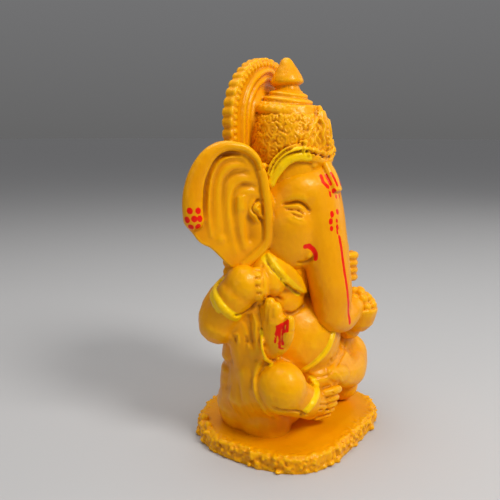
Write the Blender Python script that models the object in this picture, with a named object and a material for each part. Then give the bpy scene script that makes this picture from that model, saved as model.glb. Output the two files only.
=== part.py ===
# A small cast and painted statue of Ganesha. The figure sits cross-legged on a
# thin plinth with a rough edge, in front of a tall ribbed halo. Plinth, figure,
# crown and halo are one casting, so the whole statue is a single solid.
# The figure faces -Y and its right side is at -X.

import math
import random

import bmesh
import bpy
from mathutils import Euler, Matrix, Vector

# Driving dimensions, in metres
FIGURE_HEIGHT = 0.1435      # from the plinth's top face to the top of the halo
PLINTH_THICKNESS = 0.0065
PLINTH_WIDTH = 0.075        # from side to side, without the lumps
PLINTH_DEPTH = 0.067        # from front to back, without the lumps
PLINTH_ADVANCE = 0.0005     # how far the plinth's middle lies before the figure's axis
LUMP_RADIUS = 0.0026        # the knobs of the rough edge
LUMP_SPACING = 0.0046
HALO_THICKNESS = 0.0045

# The shape of the plinth's outline: 2 is an ellipse, more is squarer
FRONT_SQUARENESS = 3.5
BACK_SQUARENESS = 2.1
OUTLINE_STEPS = 72

# The figure is laid out in parts of its own height
HEIGHT_PARTS = 143.5
PART = FIGURE_HEIGHT / HEIGHT_PARTS

# Fineness of the finished surface
CELL = 0.75 * PART
SMOOTHING_STEPS = 2
FACE_BUDGET = 9400

BODY_COLOUR = (0.83, 0.38, 0.01, 1.0)
BODY_ROUGHNESS = 0.35

BOTH_SIDES = (-1, 1)


def spot(x, y, z):
    # A place on the figure, in parts; z counts from the plinth's top face
    return Vector((x * PART, y * PART, z * PART + PLINTH_THICKNESS))


def ball(bm, centre, radii, turn=(0, 0, 0), fineness=3):
    # An egg: its middle and half-axes in parts, its turn in degrees
    turned = Euler([math.radians(a) for a in turn]).to_matrix().to_4x4()
    size = Matrix.Diagonal([r * PART for r in radii] + [1.0])
    bmesh.ops.create_icosphere(
        bm, subdivisions=fineness, radius=1.0,
        matrix=Matrix.Translation(spot(*centre)) @ turned @ size)


def flowing(stations, steps):
    # Stations along a smooth curve through the given ones, end to end
    known = [Vector(s) for s in stations]
    ends = [known[0] * 2 - known[1]] + known + [known[-1] * 2 - known[-2]]
    result = []
    for i in range(1, len(ends) - 2):
        a, b, c, d = ends[i - 1:i + 3]
        for k in range(steps):
            t = k / steps
            result.append((b * 2 + (c - a) * t + (a * 2 - b * 5 + c * 4 - d) * t ** 2
                           + (b * 3 - a - c * 3 + d) * t ** 3) / 2)
    result.append(known[-1])
    return result


def limb(bm, stations, across=(0, 0, 1), steps=4, sides=14):
    # A swept form with round ends. A station is (x, y, z, half-width) or
    # (x, y, z, half-width along `across`, half-width the other way), in parts.
    full = [tuple(s) if len(s) == 5 else tuple(s) + (s[3],) for s in stations]
    line = flowing(full, steps)
    places = [spot(*s[:3]) for s in line]
    across = Vector(across)
    rings = []
    for i, station in enumerate(line):
        ahead = (places[min(i + 1, len(line) - 1)] - places[max(i - 1, 0)]).normalized()
        wide = (across - ahead * across.dot(ahead)).normalized()
        deep = ahead.cross(wide)
        a = station[3] * PART
        b = station[4] * PART
        turns = [(0.0, 1.0)]
        if i == 0:
            turns = [(-0.94, 0.34), (-0.7, 0.72), (0.0, 1.0)]
        if i == len(line) - 1:
            turns = [(0.0, 1.0), (0.7, 0.72), (0.94, 0.34)]
        for along, share in turns:
            rings.append((places[i] + ahead * along * min(a, b),
                          wide * a * share, deep * b * share))
    disc = bmesh.ops.create_circle(bm, cap_ends=True, segments=sides, radius=1.0)
    face = disc["verts"][0].link_faces[0]
    for n, (centre, wide, deep) in enumerate(rings):
        if n:
            grown = bmesh.ops.extrude_face_region(bm, geom=[face])["geom"]
            face = [g for g in grown if isinstance(g, bmesh.types.BMFace)][0]
        for k, vert in enumerate(face.verts):
            angle = math.tau * k / sides
            vert.co = centre + wide * math.cos(angle) + deep * math.sin(angle)


def turned_form(bm, profile, foot, tip=0.0, sides=36):
    # A form turned on an axis that stands at `foot` and leans back by `tip`
    # degrees: (radius, height) pairs in parts, from the axis to the axis
    lean = Matrix.Rotation(math.radians(-tip), 3, "X")
    verts = [bm.verts.new(spot(*foot) + lean @ Vector((r * PART, 0, h * PART)))
             for r, h in profile]
    edges = [bm.edges.new(pair) for pair in zip(verts, verts[1:])]
    bmesh.ops.spin(bm, geom=verts + edges, axis=lean @ Vector((0, 0, 1)), cent=spot(*foot),
                   angle=math.tau, steps=sides, use_merge=True)


def slab(bm, outline, thickness, direction):
    # A flat form with the given outline, centred on it
    push = Vector(direction).normalized() * thickness
    face = bm.faces.new([bm.verts.new(p - push / 2) for p in outline])
    grown = bmesh.ops.extrude_face_region(bm, geom=[face])["geom"]
    moved = [g for g in grown if isinstance(g, bmesh.types.BMVert)]
    bmesh.ops.translate(bm, vec=push, verts=moved)


# Plinth

def plinth_edge(angle):
    # A place on the plinth's outline, at the height of its underside
    squareness = FRONT_SQUARENESS if math.sin(angle) < 0 else BACK_SQUARENESS
    wide = abs(math.cos(angle)) / (PLINTH_WIDTH / 2)
    deep = abs(math.sin(angle)) / (PLINTH_DEPTH / 2)
    reach = (wide ** squareness + deep ** squareness) ** (-1 / squareness)
    return Vector((math.cos(angle) * reach, math.sin(angle) * reach - PLINTH_ADVANCE, 0))


def plinth(bm):
    # It reaches below the underside, where the finished casting is cut flat
    outline = [plinth_edge(math.tau * k / OUTLINE_STEPS) for k in range(OUTLINE_STEPS)]
    slab(bm, outline, PLINTH_THICKNESS * 2, (0, 0, 1))
    chance = random.Random(7)
    around = math.pi * (PLINTH_WIDTH + PLINTH_DEPTH) / 2
    count = round(around / LUMP_SPACING)
    for row, rise in enumerate((0.12, 0.5, 0.86)):
        for k in range(count):
            angle = math.tau * (k + 0.33 * row + chance.uniform(-0.3, 0.3)) / count
            radius = LUMP_RADIUS * chance.uniform(0.7, 1.15)
            edge = plinth_edge(angle)
            inward = Vector((-edge.x, -edge.y, 0)).normalized()
            place = edge + inward * radius * chance.uniform(0.25, 0.8)
            place.z = PLINTH_THICKNESS * rise - LUMP_RADIUS * 0.25 * rise
            bmesh.ops.create_icosphere(bm, subdivisions=2, radius=radius,
                                       matrix=Matrix.Translation(place))


# Body and lap

def body(bm):
    ball(bm, (0, 5, 12), (24, 18, 17))
    ball(bm, (0, 8.5, 34), (21, 13.5, 27))
    ball(bm, (0, 6, 57), (25, 11, 12))
    ball(bm, (0, -4, 34), (20, 20, 19.5))
    ball(bm, (0, -2.5, 60), (20.5, 12.5, 13))
    for side in BOTH_SIDES:
        ball(bm, (side * 10.5, -6.4, 51), (8.6, 7.4, 7.6))
        ball(bm, (side * 21, 4, 58), (9, 9, 10))
        limb(bm, [(side * 19.6, -4.2, 60.5, 7.6), (side * 16.5, -2, 66, 7), (side * 11, 0, 72, 8)],
             steps=3, sides=14)
        limb(bm, [(side * 18, 6, 35, 9.4), (side * 18, 6.5, 24, 10.5), (side * 17.5, 6, 12, 11.5)],
             steps=3, sides=14)
        collar(bm, side)
    belt(bm)


def collar(bm, side):
    # The chest under the collar, and the leaf-shaped collar that runs down over it
    limb(bm, [(side * 16.5, -2, 67, 4.2), (side * 16, -6, 64, 4.8), (side * 13.2, -8.8, 60, 4.8),
              (side * 9, -10.2, 56, 4.6)], steps=3, sides=12)
    limb(bm, [(side * 16.6, -1.8, 69.0, 1.2, 1.2), (side * 17.4, -6.2, 66.0, 3.0, 1.6),
              (side * 15.2, -10.4, 60.6, 3.2, 1.6), (side * 11.2, -12.8, 56.4, 2.6, 1.5),
              (side * 8.2, -13.8, 54.4, 1.2, 1.2)], across=(side, 1, 1), steps=3, sides=10)


def belt(bm):
    # A band that runs down the front of the belly and round to the right hip
    limb(bm, [(2, -22.6, 43, 1.7, 1.1), (-1.5, -23.7, 38, 1.8, 1.1), (-5.5, -23.2, 31, 1.9, 1.1),
              (-12, -17.4, 25, 1.9, 1.1), (-17, -10, 24, 1.8, 1.1)],
         across=(-0.7, 0, -0.7), steps=4, sides=8)


def legs(bm):
    # Haunches that spread on the plinth, knees, and shins that cross in front
    for side in BOTH_SIDES:
        ball(bm, (side * 15, 6, 8), (14, 14, 14))
        limb(bm, [(side * 12, 5, 15, 12), (side * 20, -4, 18, 11.5), (side * 25, -12, 21.5, 10)],
             steps=3, sides=16)
    limb(bm, [(-17, 2, 12, 12.2), (-17, -1, 5, 12.2), (-16, -2, -2, 11.6)], steps=3, sides=16)
    limb(bm, [(-21.5, 2.5, 38, 6.6), (-21.8, 1.5, 28, 8.6), (-21, 0.5, 15, 11.4)], steps=3, sides=14)
    limb(bm, [(-23.5, -1.5, 37, 6.4), (-23.6, -2, 28, 8.2), (-22, -3, 18, 10.6)], steps=3, sides=14)
    ball(bm, (-26.5, -14.5, 22), (9, 10.0, 10.2))
    limb(bm, [(-26, -15, 20.5, 8.6), (-20, -18.4, 16, 7), (-13, -19, 12.6, 5.8), (-9, -19.4, 11, 5.6)])
    ball(bm, (27, -16, 19.5), (9.3, 9.3, 9.6))
    ball(bm, (20, -12, 26), (9, 9, 8))
    ball(bm, (23, -14, 7), (7.5, 9.5, 7.5))
    limb(bm, [(26, -17, 17, 9), (18, -21, 16, 7.5), (11, -22, 17, 6), (5, -22, 18, 5)])
    limb(bm, [(13, -17.5, 20, 7.5), (5, -18.6, 20.2, 6.8), (-5, -17.6, 19.2, 6.0)], steps=3)
    hem(bm)
    feet(bm)


def hem(bm):
    # The raised edge of the cloth around the back of the right knee
    stations = []
    for k in range(8):
        angle = math.radians(85 - 28 * k)
        stations.append((-28.5, -14.5 + 10.6 * math.cos(angle), 22 + 11 * math.sin(angle), 1.5))
    limb(bm, stations, across=(1, 0, 0), steps=2, sides=8)


# Each toe's height, how far it stands forward and its half-width, in parts
TOES = ((15.4, 26.4, 1.6), (12.1, 25.9, 1.35), (9.4, 25.3, 1.3), (6.8, 24.4, 1.25), (4.3, 23.2, 1.2))


def feet(bm):
    # The right foot lies on its side with its toes one above the other; the left
    # foot rests over it
    limb(bm, [(-13, -18.4, 10.8, 5.6, 5.0), (-9.5, -18.8, 10.6, 5.7, 4.6), (-6.6, -19.8, 10.2, 5.2, 3.8)])
    for rise, advance, girth in TOES:
        limb(bm, [(-8.4, 3.4 - advance, rise, girth), (-5.2, 1.2 - advance, rise + 0.3, girth * 1.1),
                  (-2.2, 0.4 - advance, rise, girth)], steps=2, sides=10)
    limb(bm, [(-10.6, -16, 16.6, 1.5), (-9.4, -24, 14, 1.6), (-10.6, -26, 9, 1.6),
              (-12.5, -23, 4.5, 1.5)], steps=3, sides=10)
    limb(bm, [(9, -21.6, 18, 5), (3.5, -22.6, 19.4, 4.6), (-2, -21.6, 21, 3.8)])


# Arms and hands

def bangle(bm, centre, axis, radii, girth):
    # A raised ring around a limb
    axis = Vector(axis).normalized()
    wide = axis.orthogonal().normalized()
    deep = axis.cross(wide)
    stations = []
    for k in range(13):
        angle = math.tau * k / 12
        place = Vector(centre) + wide * radii[0] * math.cos(angle) + deep * radii[1] * math.sin(angle)
        stations.append((*place, girth))
    limb(bm, stations, across=axis, steps=1, sides=8)


def raised_right_arm(bm):
    # Elbow low and behind, closed hand under the ear
    limb(bm, [(-19, 7, 56, 9), (-25, 11, 49, 9), (-29, 11, 44, 9)])
    limb(bm, [(-29, 11, 44, 8.6), (-30, 6, 51, 7.2), (-29.5, 3, 57, 7.5)])
    ball(bm, (-28.6, 1.0, 58.8), (7, 7.4, 8.2))
    ball(bm, (-26.2, -3.4, 58.8), (5.6, 5.2, 7.4))
    bangle(bm, (-29.6, 6.6, 51.8), (0.02, -0.60, 0.80), (7.9, 7.9), 1.4)
    for k in range(4):
        ball(bm, (-23.2, -5.6, 54 + 3.1 * k), (2.0, 2.0, 1.6), fineness=2)


def blessing_hand(bm):
    # The front right hand, palm outwards
    limb(bm, [(-21, 5, 55, 8), (-24.4, 3, 43, 7.4), (-25.4, 1, 35, 6.8)])
    limb(bm, [(-25.4, 2, 33, 6.2), (-26.2, -3, 34, 5.8), (-26.8, -8, 36.5, 5.2)])
    bangle(bm, (-26.6, -9.4, 37.4), (0.1, -0.94, 0.3), (6.3, 5.7), 1.0)
    limb(bm, [(-27, -8.5, 36.5, 5.2, 3.6), (-27, -12, 41, 6.6, 3.8), (-27, -12.4, 46, 6.0, 3.4)],
         across=(0, 1, 0))
    for y, top in ((-8.2, 51.8), (-10.6, 53.6), (-12.9, 52.4)):
        limb(bm, [(-27, y - 0.6, 43, 2.4), (-27.2, y - 0.2, 48, 2.4), (-26.9, y + 0.6, top, 2.1)],
             steps=2, sides=10)
    limb(bm, [(-26.6, -15, 38.5, 2.6), (-27.8, -17.8, 43.5, 2.4), (-27.6, -18.4, 48.2, 1.9)],
         steps=2, sides=10)


def raised_left_arm(bm):
    limb(bm, [(19, 6, 55, 9), (27, 6, 48, 8.5), (31, 2, 44, 8)])
    limb(bm, [(31, 2, 44, 7.6), (31, -6, 50, 6.5), (29.5, -11, 55, 6)])
    ball(bm, (28.5, -12.5, 58), (5.5, 5.5, 7.5))
    for k in range(4):
        rise = 53.5 + 3.0 * k
        limb(bm, [(31.5, -15.5, rise, 1.6), (28.5, -17.9, rise, 1.8), (25, -16.5, rise, 1.6)],
             steps=2, sides=8)
    limb(bm, [(26.5, -14.5, 62, 1.9), (25.5, -15, 68, 1.6)], steps=2, sides=8)


def sweets_hand(bm):
    # The front left hand holds a bowl of sweets under the end of the trunk
    limb(bm, [(21, 4, 54, 8.5), (26, 0, 42, 8), (27, -5, 33, 7)])
    limb(bm, [(27, -5, 32, 6.8), (25, -14, 33, 6), (18.5, -21, 35, 5.4)])
    turned_form(bm, [(0, -8), (4, -7.6), (6.6, -4.5), (7.9, 0), (8.1, 2.2), (7, 2.6), (0, 2.4)],
                (18.5, -24.5, 42), tip=-4, sides=24)
    ball(bm, (18.5, -24.5, 45.4), (6.3, 6.3, 5.8))


# Head

def head(bm):
    ball(bm, (0, -2.5, 84), (19, 18, 20))
    ball(bm, (0, -9, 92), (15.5, 12.5, 11))
    ball(bm, (0, -4, 72), (18, 12.5, 11))
    ball(bm, (0, 5, 90), (17, 10.5, 27))
    for side in BOTH_SIDES:
        ball(bm, (side * 9.5, -6.5, 74.5), (10.8, 11.4, 13.2))
        ball(bm, (side * 10, -7.6, 79), (10.3, 10.8, 13))
        limb(bm, [(side * 10.5, -10.5, 84, 5), (side * 10.5, -12.5, 77, 5.4), (side * 9.5, -12.5, 72, 5)],
             steps=3)
        brow(bm, side)
        eye(bm, side)
        limb(bm, [(side * 8.5, -13, 73, 3.6), (side * 10.4, -15.4, 70.4, 3.0)], steps=2)
    brow_flap(bm)
    trunk(bm)


def brow(bm, side):
    limb(bm, [(side * 8, -18.6, 86.5, 1.8), (side * 12, -16.2, 89.6, 1.7), (side * 16, -11, 89.8, 1.4)],
         steps=3, sides=10)


def eye(bm, side):
    ball(bm, (side * 13.2, -12.8, 84.8), (4.4, 2.6, 2.5), turn=(0, 0, side * 40))
    limb(bm, [(side * 10.2, -17.4, 83.6, 0.8), (side * 13, -15.6, 86.2, 1.0),
              (side * 16.8, -11.2, 86.9, 0.8)], steps=3, sides=8)
    limb(bm, [(side * 10.2, -17.2, 83.4, 0.7), (side * 13.2, -14.9, 82.5, 0.9),
              (side * 16.6, -11, 84.2, 0.7)], steps=3, sides=8)


def brow_flap(bm):
    # The narrow plate that hangs from the crown and ends in a step above the nose
    limb(bm, [(0, -17.6, 103, 2.6, 1.8), (0, -20.4, 98.5, 3.2, 1.8), (0, -22.8, 93, 3.0, 1.5)],
         across=(1, 0, 0), steps=3)


def trunk(bm):
    limb(bm, [(0, -13, 94, 11.5, 9), (0, -15, 84, 11.5, 9.5), (0, -17, 74, 11, 9.2),
              (0, -19.2, 64, 10.4, 8.4), (0, -21.2, 53, 9.2, 8), (-0.5, -21.5, 46, 7.6, 7)],
         across=(1, 0, 0), steps=4, sides=18)
    limb(bm, [(-1, -21.5, 45, 7), (5, -23.5, 42.5, 6), (12, -25, 45, 5)], steps=3)


# Ears

EAR_ROOT = (20.5, -5.0, 86.5)
EAR_SWEEP = 44.0
EAR_OUTLINE = ((1, 12), (2.6, 16.2), (4.1, 20.1), (7.4, 23.3), (11.4, 24.7), (16.8, 25.1), (21.5, 23.4),
               (25.8, 18.5), (29.1, 12.2), (31, 5.9), (31.4, 1), (31, -4.1), (28.2, -7.6),
               (25.4, -11.2), (21.1, -13.8), (17.8, -17), (14.4, -20.6), (9.7, -21.6), (5, -18),
               (-1, -12), (-3, 0))
EAR_RIM = ((3.2, 15.6, 1.3), (4.6, 18.8, 1.6), (7.9, 21.9, 1.8), (12, 23.1, 2.0), (16.6, 23, 2.3),
           (20.9, 20.8, 2.8), (24.4, 16.4, 3.3), (26.7, 11, 3.6), (27.8, 5.5, 3.8), (27.9, 0.2, 3.9),
           (27.4, -3.6, 3.7))
EAR_FOLDS = (((7, 16.9, 1.2), (9.2, 19.1, 1.3), (13.6, 19.8, 1.4), (18.2, 18.1, 1.4), (20.9, 13, 1.4),
              (21.9, 6.1, 1.3), (22.2, -1.1, 1.2), (21.3, -9, 1.0)),
             ((5.4, 10.8, 1.5), (8.0, 13.4, 1.9), (11.6, 14.4, 2.0), (15, 12.6, 2.0), (17, 7.6, 1.9),
              (17.4, 0.6, 1.7), (16.4, -7.4, 1.5), (14.4, -15, 1.2)),
             ((3.6, 5, 1.5), (6, 6.6, 2.0), (8.6, 6, 2.2), (10.2, 3.2, 2.2), (10.6, -1.2, 2.0),
              (10.2, -7, 1.8), (8.6, -14, 1.3)))


def ear_place(side, u, v, lift=0.0):
    # u runs outwards along the ear, v upwards, `lift` out of its front face
    turn = math.radians(EAR_SWEEP)
    x, y, z = EAR_ROOT
    out = x + u * math.cos(turn) + lift * math.sin(turn)
    return (side * out, y + u * math.sin(turn) - lift * math.cos(turn), z + v)


def ear(bm, side):
    facing = Vector((side * math.sin(math.radians(EAR_SWEEP)), -math.cos(math.radians(EAR_SWEEP)), 0))
    closed = flowing([(*p, 0) for p in EAR_OUTLINE + EAR_OUTLINE[:1]], 3)[:-1]
    slab(bm, [spot(*ear_place(side, p.x, p.y, -1.0)) for p in closed], 3.6 * PART, facing)
    limb(bm, [(*ear_place(side, u, v, 0.6), 0.9 + r * 0.5, r) for u, v, r in EAR_RIM],
         across=facing, steps=3, sides=12)
    for fold in EAR_FOLDS:
        limb(bm, [(*ear_place(side, u, v, 0.1), 1.5, r) for u, v, r in fold], across=facing,
             steps=3, sides=10)
    ball(bm, ear_place(side, 4.6, -0.4, 0.2), (3.2, 2.4, 5.0))


# Crown

CROWN_FOOT = (0, -2.2, 101)
CROWN_TIP = 3.0
DRUM_PROFILE = ((0, -6), (15.4, -6), (15.8, 1), (16.0, 7), (15.6, 12), (14.4, 17), (13.1, 20.6),
                (12.2, 23), (0, 23.2))
FINIAL_PROFILE = ((0, 26), (5.2, 28.8), (4.9, 29.8), (4.5, 30.6), (4.6, 31.2), (5.5, 31.6),
                  (6.2, 32.2), (6.3, 33), (5.7, 34.6), (4.2, 37.2), (2.8, 39.4), (1.9, 40.9),
                  (1, 41.6), (0, 41.8))
# The tiers between them dip to the front
TIER_FOOT = (0, -1.4, 123)
TIER_TIP = -7.0
TIER_PROFILE = ((0, -2.4), (12.2, -2), (13.3, -1.5), (13.9, -0.6), (13.6, 0.6), (12, 1.9),
                (10.4, 2.6), (10, 3), (10.2, 4), (9.6, 4.6), (8.1, 4.9), (7.8, 5.3), (7.9, 6.2),
                (7.3, 6.7), (5.8, 7.1), (5.2, 7.9), (0, 8))
CROWN_LEAVES = 17
TIER_KNOBS = 26


def crown(bm):
    turned_form(bm, DRUM_PROFILE, CROWN_FOOT, tip=CROWN_TIP)
    turned_form(bm, TIER_PROFILE, TIER_FOOT, tip=TIER_TIP)
    turned_form(bm, FINIAL_PROFILE, CROWN_FOOT, tip=CROWN_TIP)
    x, y, z = TIER_FOOT
    dip = math.radians(TIER_TIP)
    for k in range(TIER_KNOBS):
        angle = math.tau * k / TIER_KNOBS
        deep = 12.7 * math.sin(angle)
        ball(bm, (x + 12.7 * math.cos(angle), y + deep * math.cos(dip), z + 0.9 - deep * math.sin(dip)),
             (1.3, 1.3, 1.1), fineness=1)
    for k in range(CROWN_LEAVES):
        angle = math.tau * k / CROWN_LEAVES - math.pi / 2
        if math.sin(angle) < 0.5:
            leaf(bm, angle, 14.9, 9.5 if k else 21, 2.6 if k else 4.8)
    headband(bm)


def leaf(bm, angle, reach, height, half_width):
    # A leaf that lies up the crown's tapering side
    x, y, z = CROWN_FOOT
    out = Vector((math.cos(angle), math.sin(angle), 0))
    along = Vector((-math.sin(angle), math.cos(angle), 0))
    stations = []
    for share in (0.0, 0.3, 0.65, 1.0):
        rise = 2 + height * share
        bulge = 1.2 + 0.8 * math.sin(math.pi * share) - 3.6 * (rise / 21) ** 4
        place = Vector((x, y, z + rise)) + out * (reach + bulge)
        stations.append((*place, half_width * (1 - 0.8 * share ** 2), 1.7))
    limb(bm, stations, across=along, steps=3, sides=10)


def headband(bm):
    # A band and a rope over it, from the temples up over the brow
    for side in BOTH_SIDES:
        limb(bm, [(side * 17.8, -5.6, 96.4, 1.9, 1.4), (side * 17.0, -8.4, 101, 1.9, 1.4),
                  (side * 15.2, -11.4, 104.4, 1.9, 1.4), (side * 12.0, -13.8, 105.6, 1.9, 1.4),
                  (side * 6.4, -17.0, 104.6, 1.9, 1.4), (0, -18.2, 103.2, 1.9, 1.4)],
             steps=3, sides=10)
        limb(bm, [(side * 18.6, -3.6, 98.4, 1.3), (side * 18.0, -7.2, 104.2, 1.3),
                  (side * 16.0, -10.8, 107.6, 1.3), (side * 12.4, -13.4, 109, 1.3)],
             steps=3, sides=10)
        ball(bm, (side * 19.2, -2.0, 102.4), (1.7, 1.7, 1.7), fineness=2)


# Halo

HALO_MIDDLE = 118.0
HALO_RADIUS = 25.6
HALO_Y = 10.5
HALO_FOOT = 58.0
HALO_RIBS = 50


def halo_edge(share):
    # A place on the halo's outline, from the right foot over the top to the left
    # foot: two straight sides and a half circle between them
    side_length = HALO_MIDDLE - HALO_FOOT
    arc = math.pi * HALO_RADIUS
    run = share * (side_length * 2 + arc)
    if run < side_length:
        return Vector((-HALO_RADIUS, 0, HALO_FOOT + run)), Vector((-1, 0, 0))
    if run > side_length + arc:
        return Vector((HALO_RADIUS, 0, HALO_FOOT + side_length * 2 + arc - run)), Vector((1, 0, 0))
    angle = math.pi - (run - side_length) / HALO_RADIUS
    out = Vector((math.cos(angle), 0, math.sin(angle)))
    return Vector((0, 0, HALO_MIDDLE)) + out * HALO_RADIUS, out


def halo(bm):
    thickness = HALO_THICKNESS / PART
    steps = 48
    outline = []
    ring = []
    for k in range(steps + 1):
        place, out = halo_edge(k / steps)
        outline.append(spot(place.x, HALO_Y, place.z))
        inner = place - out * 7.5
        ring.append((inner.x, HALO_Y - thickness * 0.42, inner.z, 1.2))
    slab(bm, outline, HALO_THICKNESS, (0, 1, 0))
    limb(bm, ring, across=(0, 1, 0), steps=1, sides=8)
    for k in range(HALO_RIBS + 1):
        place, out = halo_edge(k / HALO_RIBS)
        place = place - out * 0.65
        limb(bm, [(place.x, HALO_Y - thickness * 0.45, place.z, 1.05, 1.5),
                  (place.x, HALO_Y + thickness * 0.45, place.z, 1.05, 1.5)], across=out,
             steps=1, sides=8)


# The casting

def painted(name, colour, roughness):
    material = bpy.data.materials.new(name)
    material.use_nodes = True
    shader = material.node_tree.nodes["Principled BSDF"]
    shader.inputs["Base Color"].default_value = colour
    shader.inputs["Roughness"].default_value = roughness
    return material


def evaluated_mesh(obj):
    graph = bpy.context.evaluated_depsgraph_get()
    graph.update()
    return bpy.data.meshes.new_from_object(obj.evaluated_get(graph))


def fused(obj):
    # One skin over all the forms, smoothed a little and thinned to the budget
    fuse = obj.modifiers.new("Fuse", "REMESH")
    fuse.mode = "VOXEL"
    fuse.voxel_size = CELL
    fuse.adaptivity = 0.0
    soften = obj.modifiers.new("Soften", "SMOOTH")
    soften.factor = 0.5
    soften.iterations = SMOOTHING_STEPS
    skin = evaluated_mesh(obj)
    faces = sum(len(p.vertices) - 2 for p in skin.polygons)
    thin = obj.modifiers.new("Thin", "DECIMATE")
    thin.ratio = FACE_BUDGET / faces
    thin.use_collapse_triangulate = True
    return evaluated_mesh(obj)


def cut_flat(mesh):
    # The underside is one flat face at height 0
    bm = bmesh.new()
    bm.from_mesh(mesh)
    everything = bm.verts[:] + bm.edges[:] + bm.faces[:]
    bmesh.ops.bisect_plane(bm, geom=everything, dist=1e-7, plane_co=(0, 0, 0),
                           plane_no=(0, 0, -1), clear_outer=True)
    rim = [e for e in bm.edges if e.is_boundary]
    bmesh.ops.dissolve_degenerate(bm, dist=CELL * 0.1, edges=rim)
    rim = [e for e in bm.edges if e.is_boundary]
    bmesh.ops.contextual_create(bm, geom=rim)
    bmesh.ops.triangulate(bm, faces=bm.faces)
    bmesh.ops.recalc_face_normals(bm, faces=bm.faces)
    bm.to_mesh(mesh)
    bm.free()


def statue():
    bm = bmesh.new()
    plinth(bm)
    body(bm)
    legs(bm)
    raised_right_arm(bm)
    blessing_hand(bm)
    raised_left_arm(bm)
    sweets_hand(bm)
    head(bm)
    for side in BOTH_SIDES:
        ear(bm, side)
    crown(bm)
    halo(bm)
    forms = bpy.data.meshes.new("forms")
    bm.to_mesh(forms)
    bm.free()
    blank = bpy.data.objects.new("forms", forms)
    bpy.context.collection.objects.link(blank)
    mesh = fused(blank)
    bpy.data.objects.remove(blank)
    cut_flat(mesh)
    mesh.name = "ganesha_statue"
    mesh.materials.append(painted("golden paint", BODY_COLOUR, BODY_ROUGHNESS))
    figure = bpy.data.objects.new("ganesha_statue", mesh)
    bpy.context.collection.objects.link(figure)
    mesh.shade_smooth()
    mesh.set_sharp_from_angle(angle=math.radians(50))
    return figure


for old in list(bpy.data.objects):
    bpy.data.objects.remove(old)
statue()
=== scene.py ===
import random
from math import cos, degrees, pi, radians, sin, sqrt, tau

import bmesh
import bpy
import numpy as np
from mathutils import Euler, Matrix, Vector, noise
from mathutils.bvhtree import BVHTree


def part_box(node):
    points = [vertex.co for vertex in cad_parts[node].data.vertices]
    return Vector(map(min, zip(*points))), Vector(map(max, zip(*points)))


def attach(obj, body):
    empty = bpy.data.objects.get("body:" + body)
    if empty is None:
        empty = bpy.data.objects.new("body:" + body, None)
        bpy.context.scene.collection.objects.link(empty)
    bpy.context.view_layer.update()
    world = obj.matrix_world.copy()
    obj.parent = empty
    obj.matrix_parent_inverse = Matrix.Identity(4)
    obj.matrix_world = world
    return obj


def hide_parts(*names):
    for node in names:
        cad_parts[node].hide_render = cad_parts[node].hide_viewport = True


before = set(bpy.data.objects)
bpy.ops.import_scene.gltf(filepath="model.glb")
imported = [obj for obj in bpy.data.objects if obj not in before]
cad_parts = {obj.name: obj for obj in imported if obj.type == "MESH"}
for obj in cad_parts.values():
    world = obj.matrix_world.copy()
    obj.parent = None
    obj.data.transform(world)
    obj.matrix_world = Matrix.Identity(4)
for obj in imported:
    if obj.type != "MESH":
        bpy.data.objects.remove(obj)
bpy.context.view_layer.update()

# The statue is one golden-painted casting. It is shown as four pieces that run
# into each other: plinth, seated body, head with its ears, crown with its halo.
# Places are in parts, about 1 mm each: x is the statue's left, -y its front,
# and z counts from the plinth's top face.

statue = {
    "node": "ganesha_statue",
    "plinthTop": 6.5,        # parts
    "heightParts": 150.3,    # underside to the top of the halo
    "coarse": 0.75,          # cell of the soft under-forms, parts
    "fine": 0.40,
    "triangles": 190000,
}
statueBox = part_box(statue["node"])
part = (statueBox[1][2] - statueBox[0][2]) / statue["heightParts"]
bothSides = (-1, 1)


# The photograph's viewpoint: metres, degrees and pixels of its 500 x 500 frame

view = {
    "place": (-0.2165, -0.125, 0.120), "yaw": 33.18, "pitch": -10.3,
    "sensor": 36.0, "lens": 45.36, "pixels": 500,
}
plinthUp = Vector((0, 0, statue["plinthTop"]))
eye = Vector(view["place"]) / part - plinthUp        # the camera in parts


def viewDirection():
    yaw = radians(view["yaw"])
    pitch = radians(view["pitch"])
    return Vector((cos(pitch) * cos(yaw), cos(pitch) * sin(yaw), sin(pitch)))


def pixelRay(u, v):
    turned = viewDirection().to_track_quat("-Z", "Y")
    scale = view["sensor"] / view["lens"] / view["pixels"]
    half = view["pixels"] / 2
    return turned @ Vector(((u - half) * scale, (half - v) * scale, -1.0)).normalized()


def onColumn(u, v, reach):
    # Where a pixel's ray meets an upright column round the crown's foot, in parts
    middle = Vector((*crown["foot"][:2], 0))
    origin = eye - middle
    ray = pixelRay(u, v)
    flat = ray.xy.length_squared
    lean = origin.xy.dot(ray.xy)
    rest = origin.xy.length_squared - reach ** 2
    distance = (-lean - sqrt(max(lean ** 2 - flat * rest, 0))) / flat
    return tuple(origin + ray * distance + middle)


def mirrored(path, side=-1):
    return [(side * x, y, z) for x, y, z in path]


# Building forms from bmesh operators

def spot(x, y, z):
    return Vector((x, y, z + statue["plinthTop"])) * part


def addBall(bm, centre, radii, turn=(0, 0, 0), cuts=3):
    turned = Euler([radians(a) for a in turn]).to_matrix().to_4x4()
    size = Matrix.Diagonal([r * part for r in radii] + [1.0])
    bmesh.ops.create_icosphere(bm, subdivisions=cuts, radius=1.0,
                               matrix=Matrix.Translation(spot(*centre)) @ turned @ size)


def addLayers(bm, rings):
    # A closed form that grows from ring to ring, each with as many points
    disc = bmesh.ops.create_circle(bm, cap_ends=True, segments=len(rings[0]), radius=part)
    face = disc["verts"][0].link_faces[0]
    for n, ring in enumerate(rings):
        if n:
            grown = bmesh.ops.extrude_face_region(bm, geom=[face])["geom"]
            face = [g for g in grown if isinstance(g, bmesh.types.BMFace)][0]
        for vert, point in zip(face.verts, ring):
            vert.co = point


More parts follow.
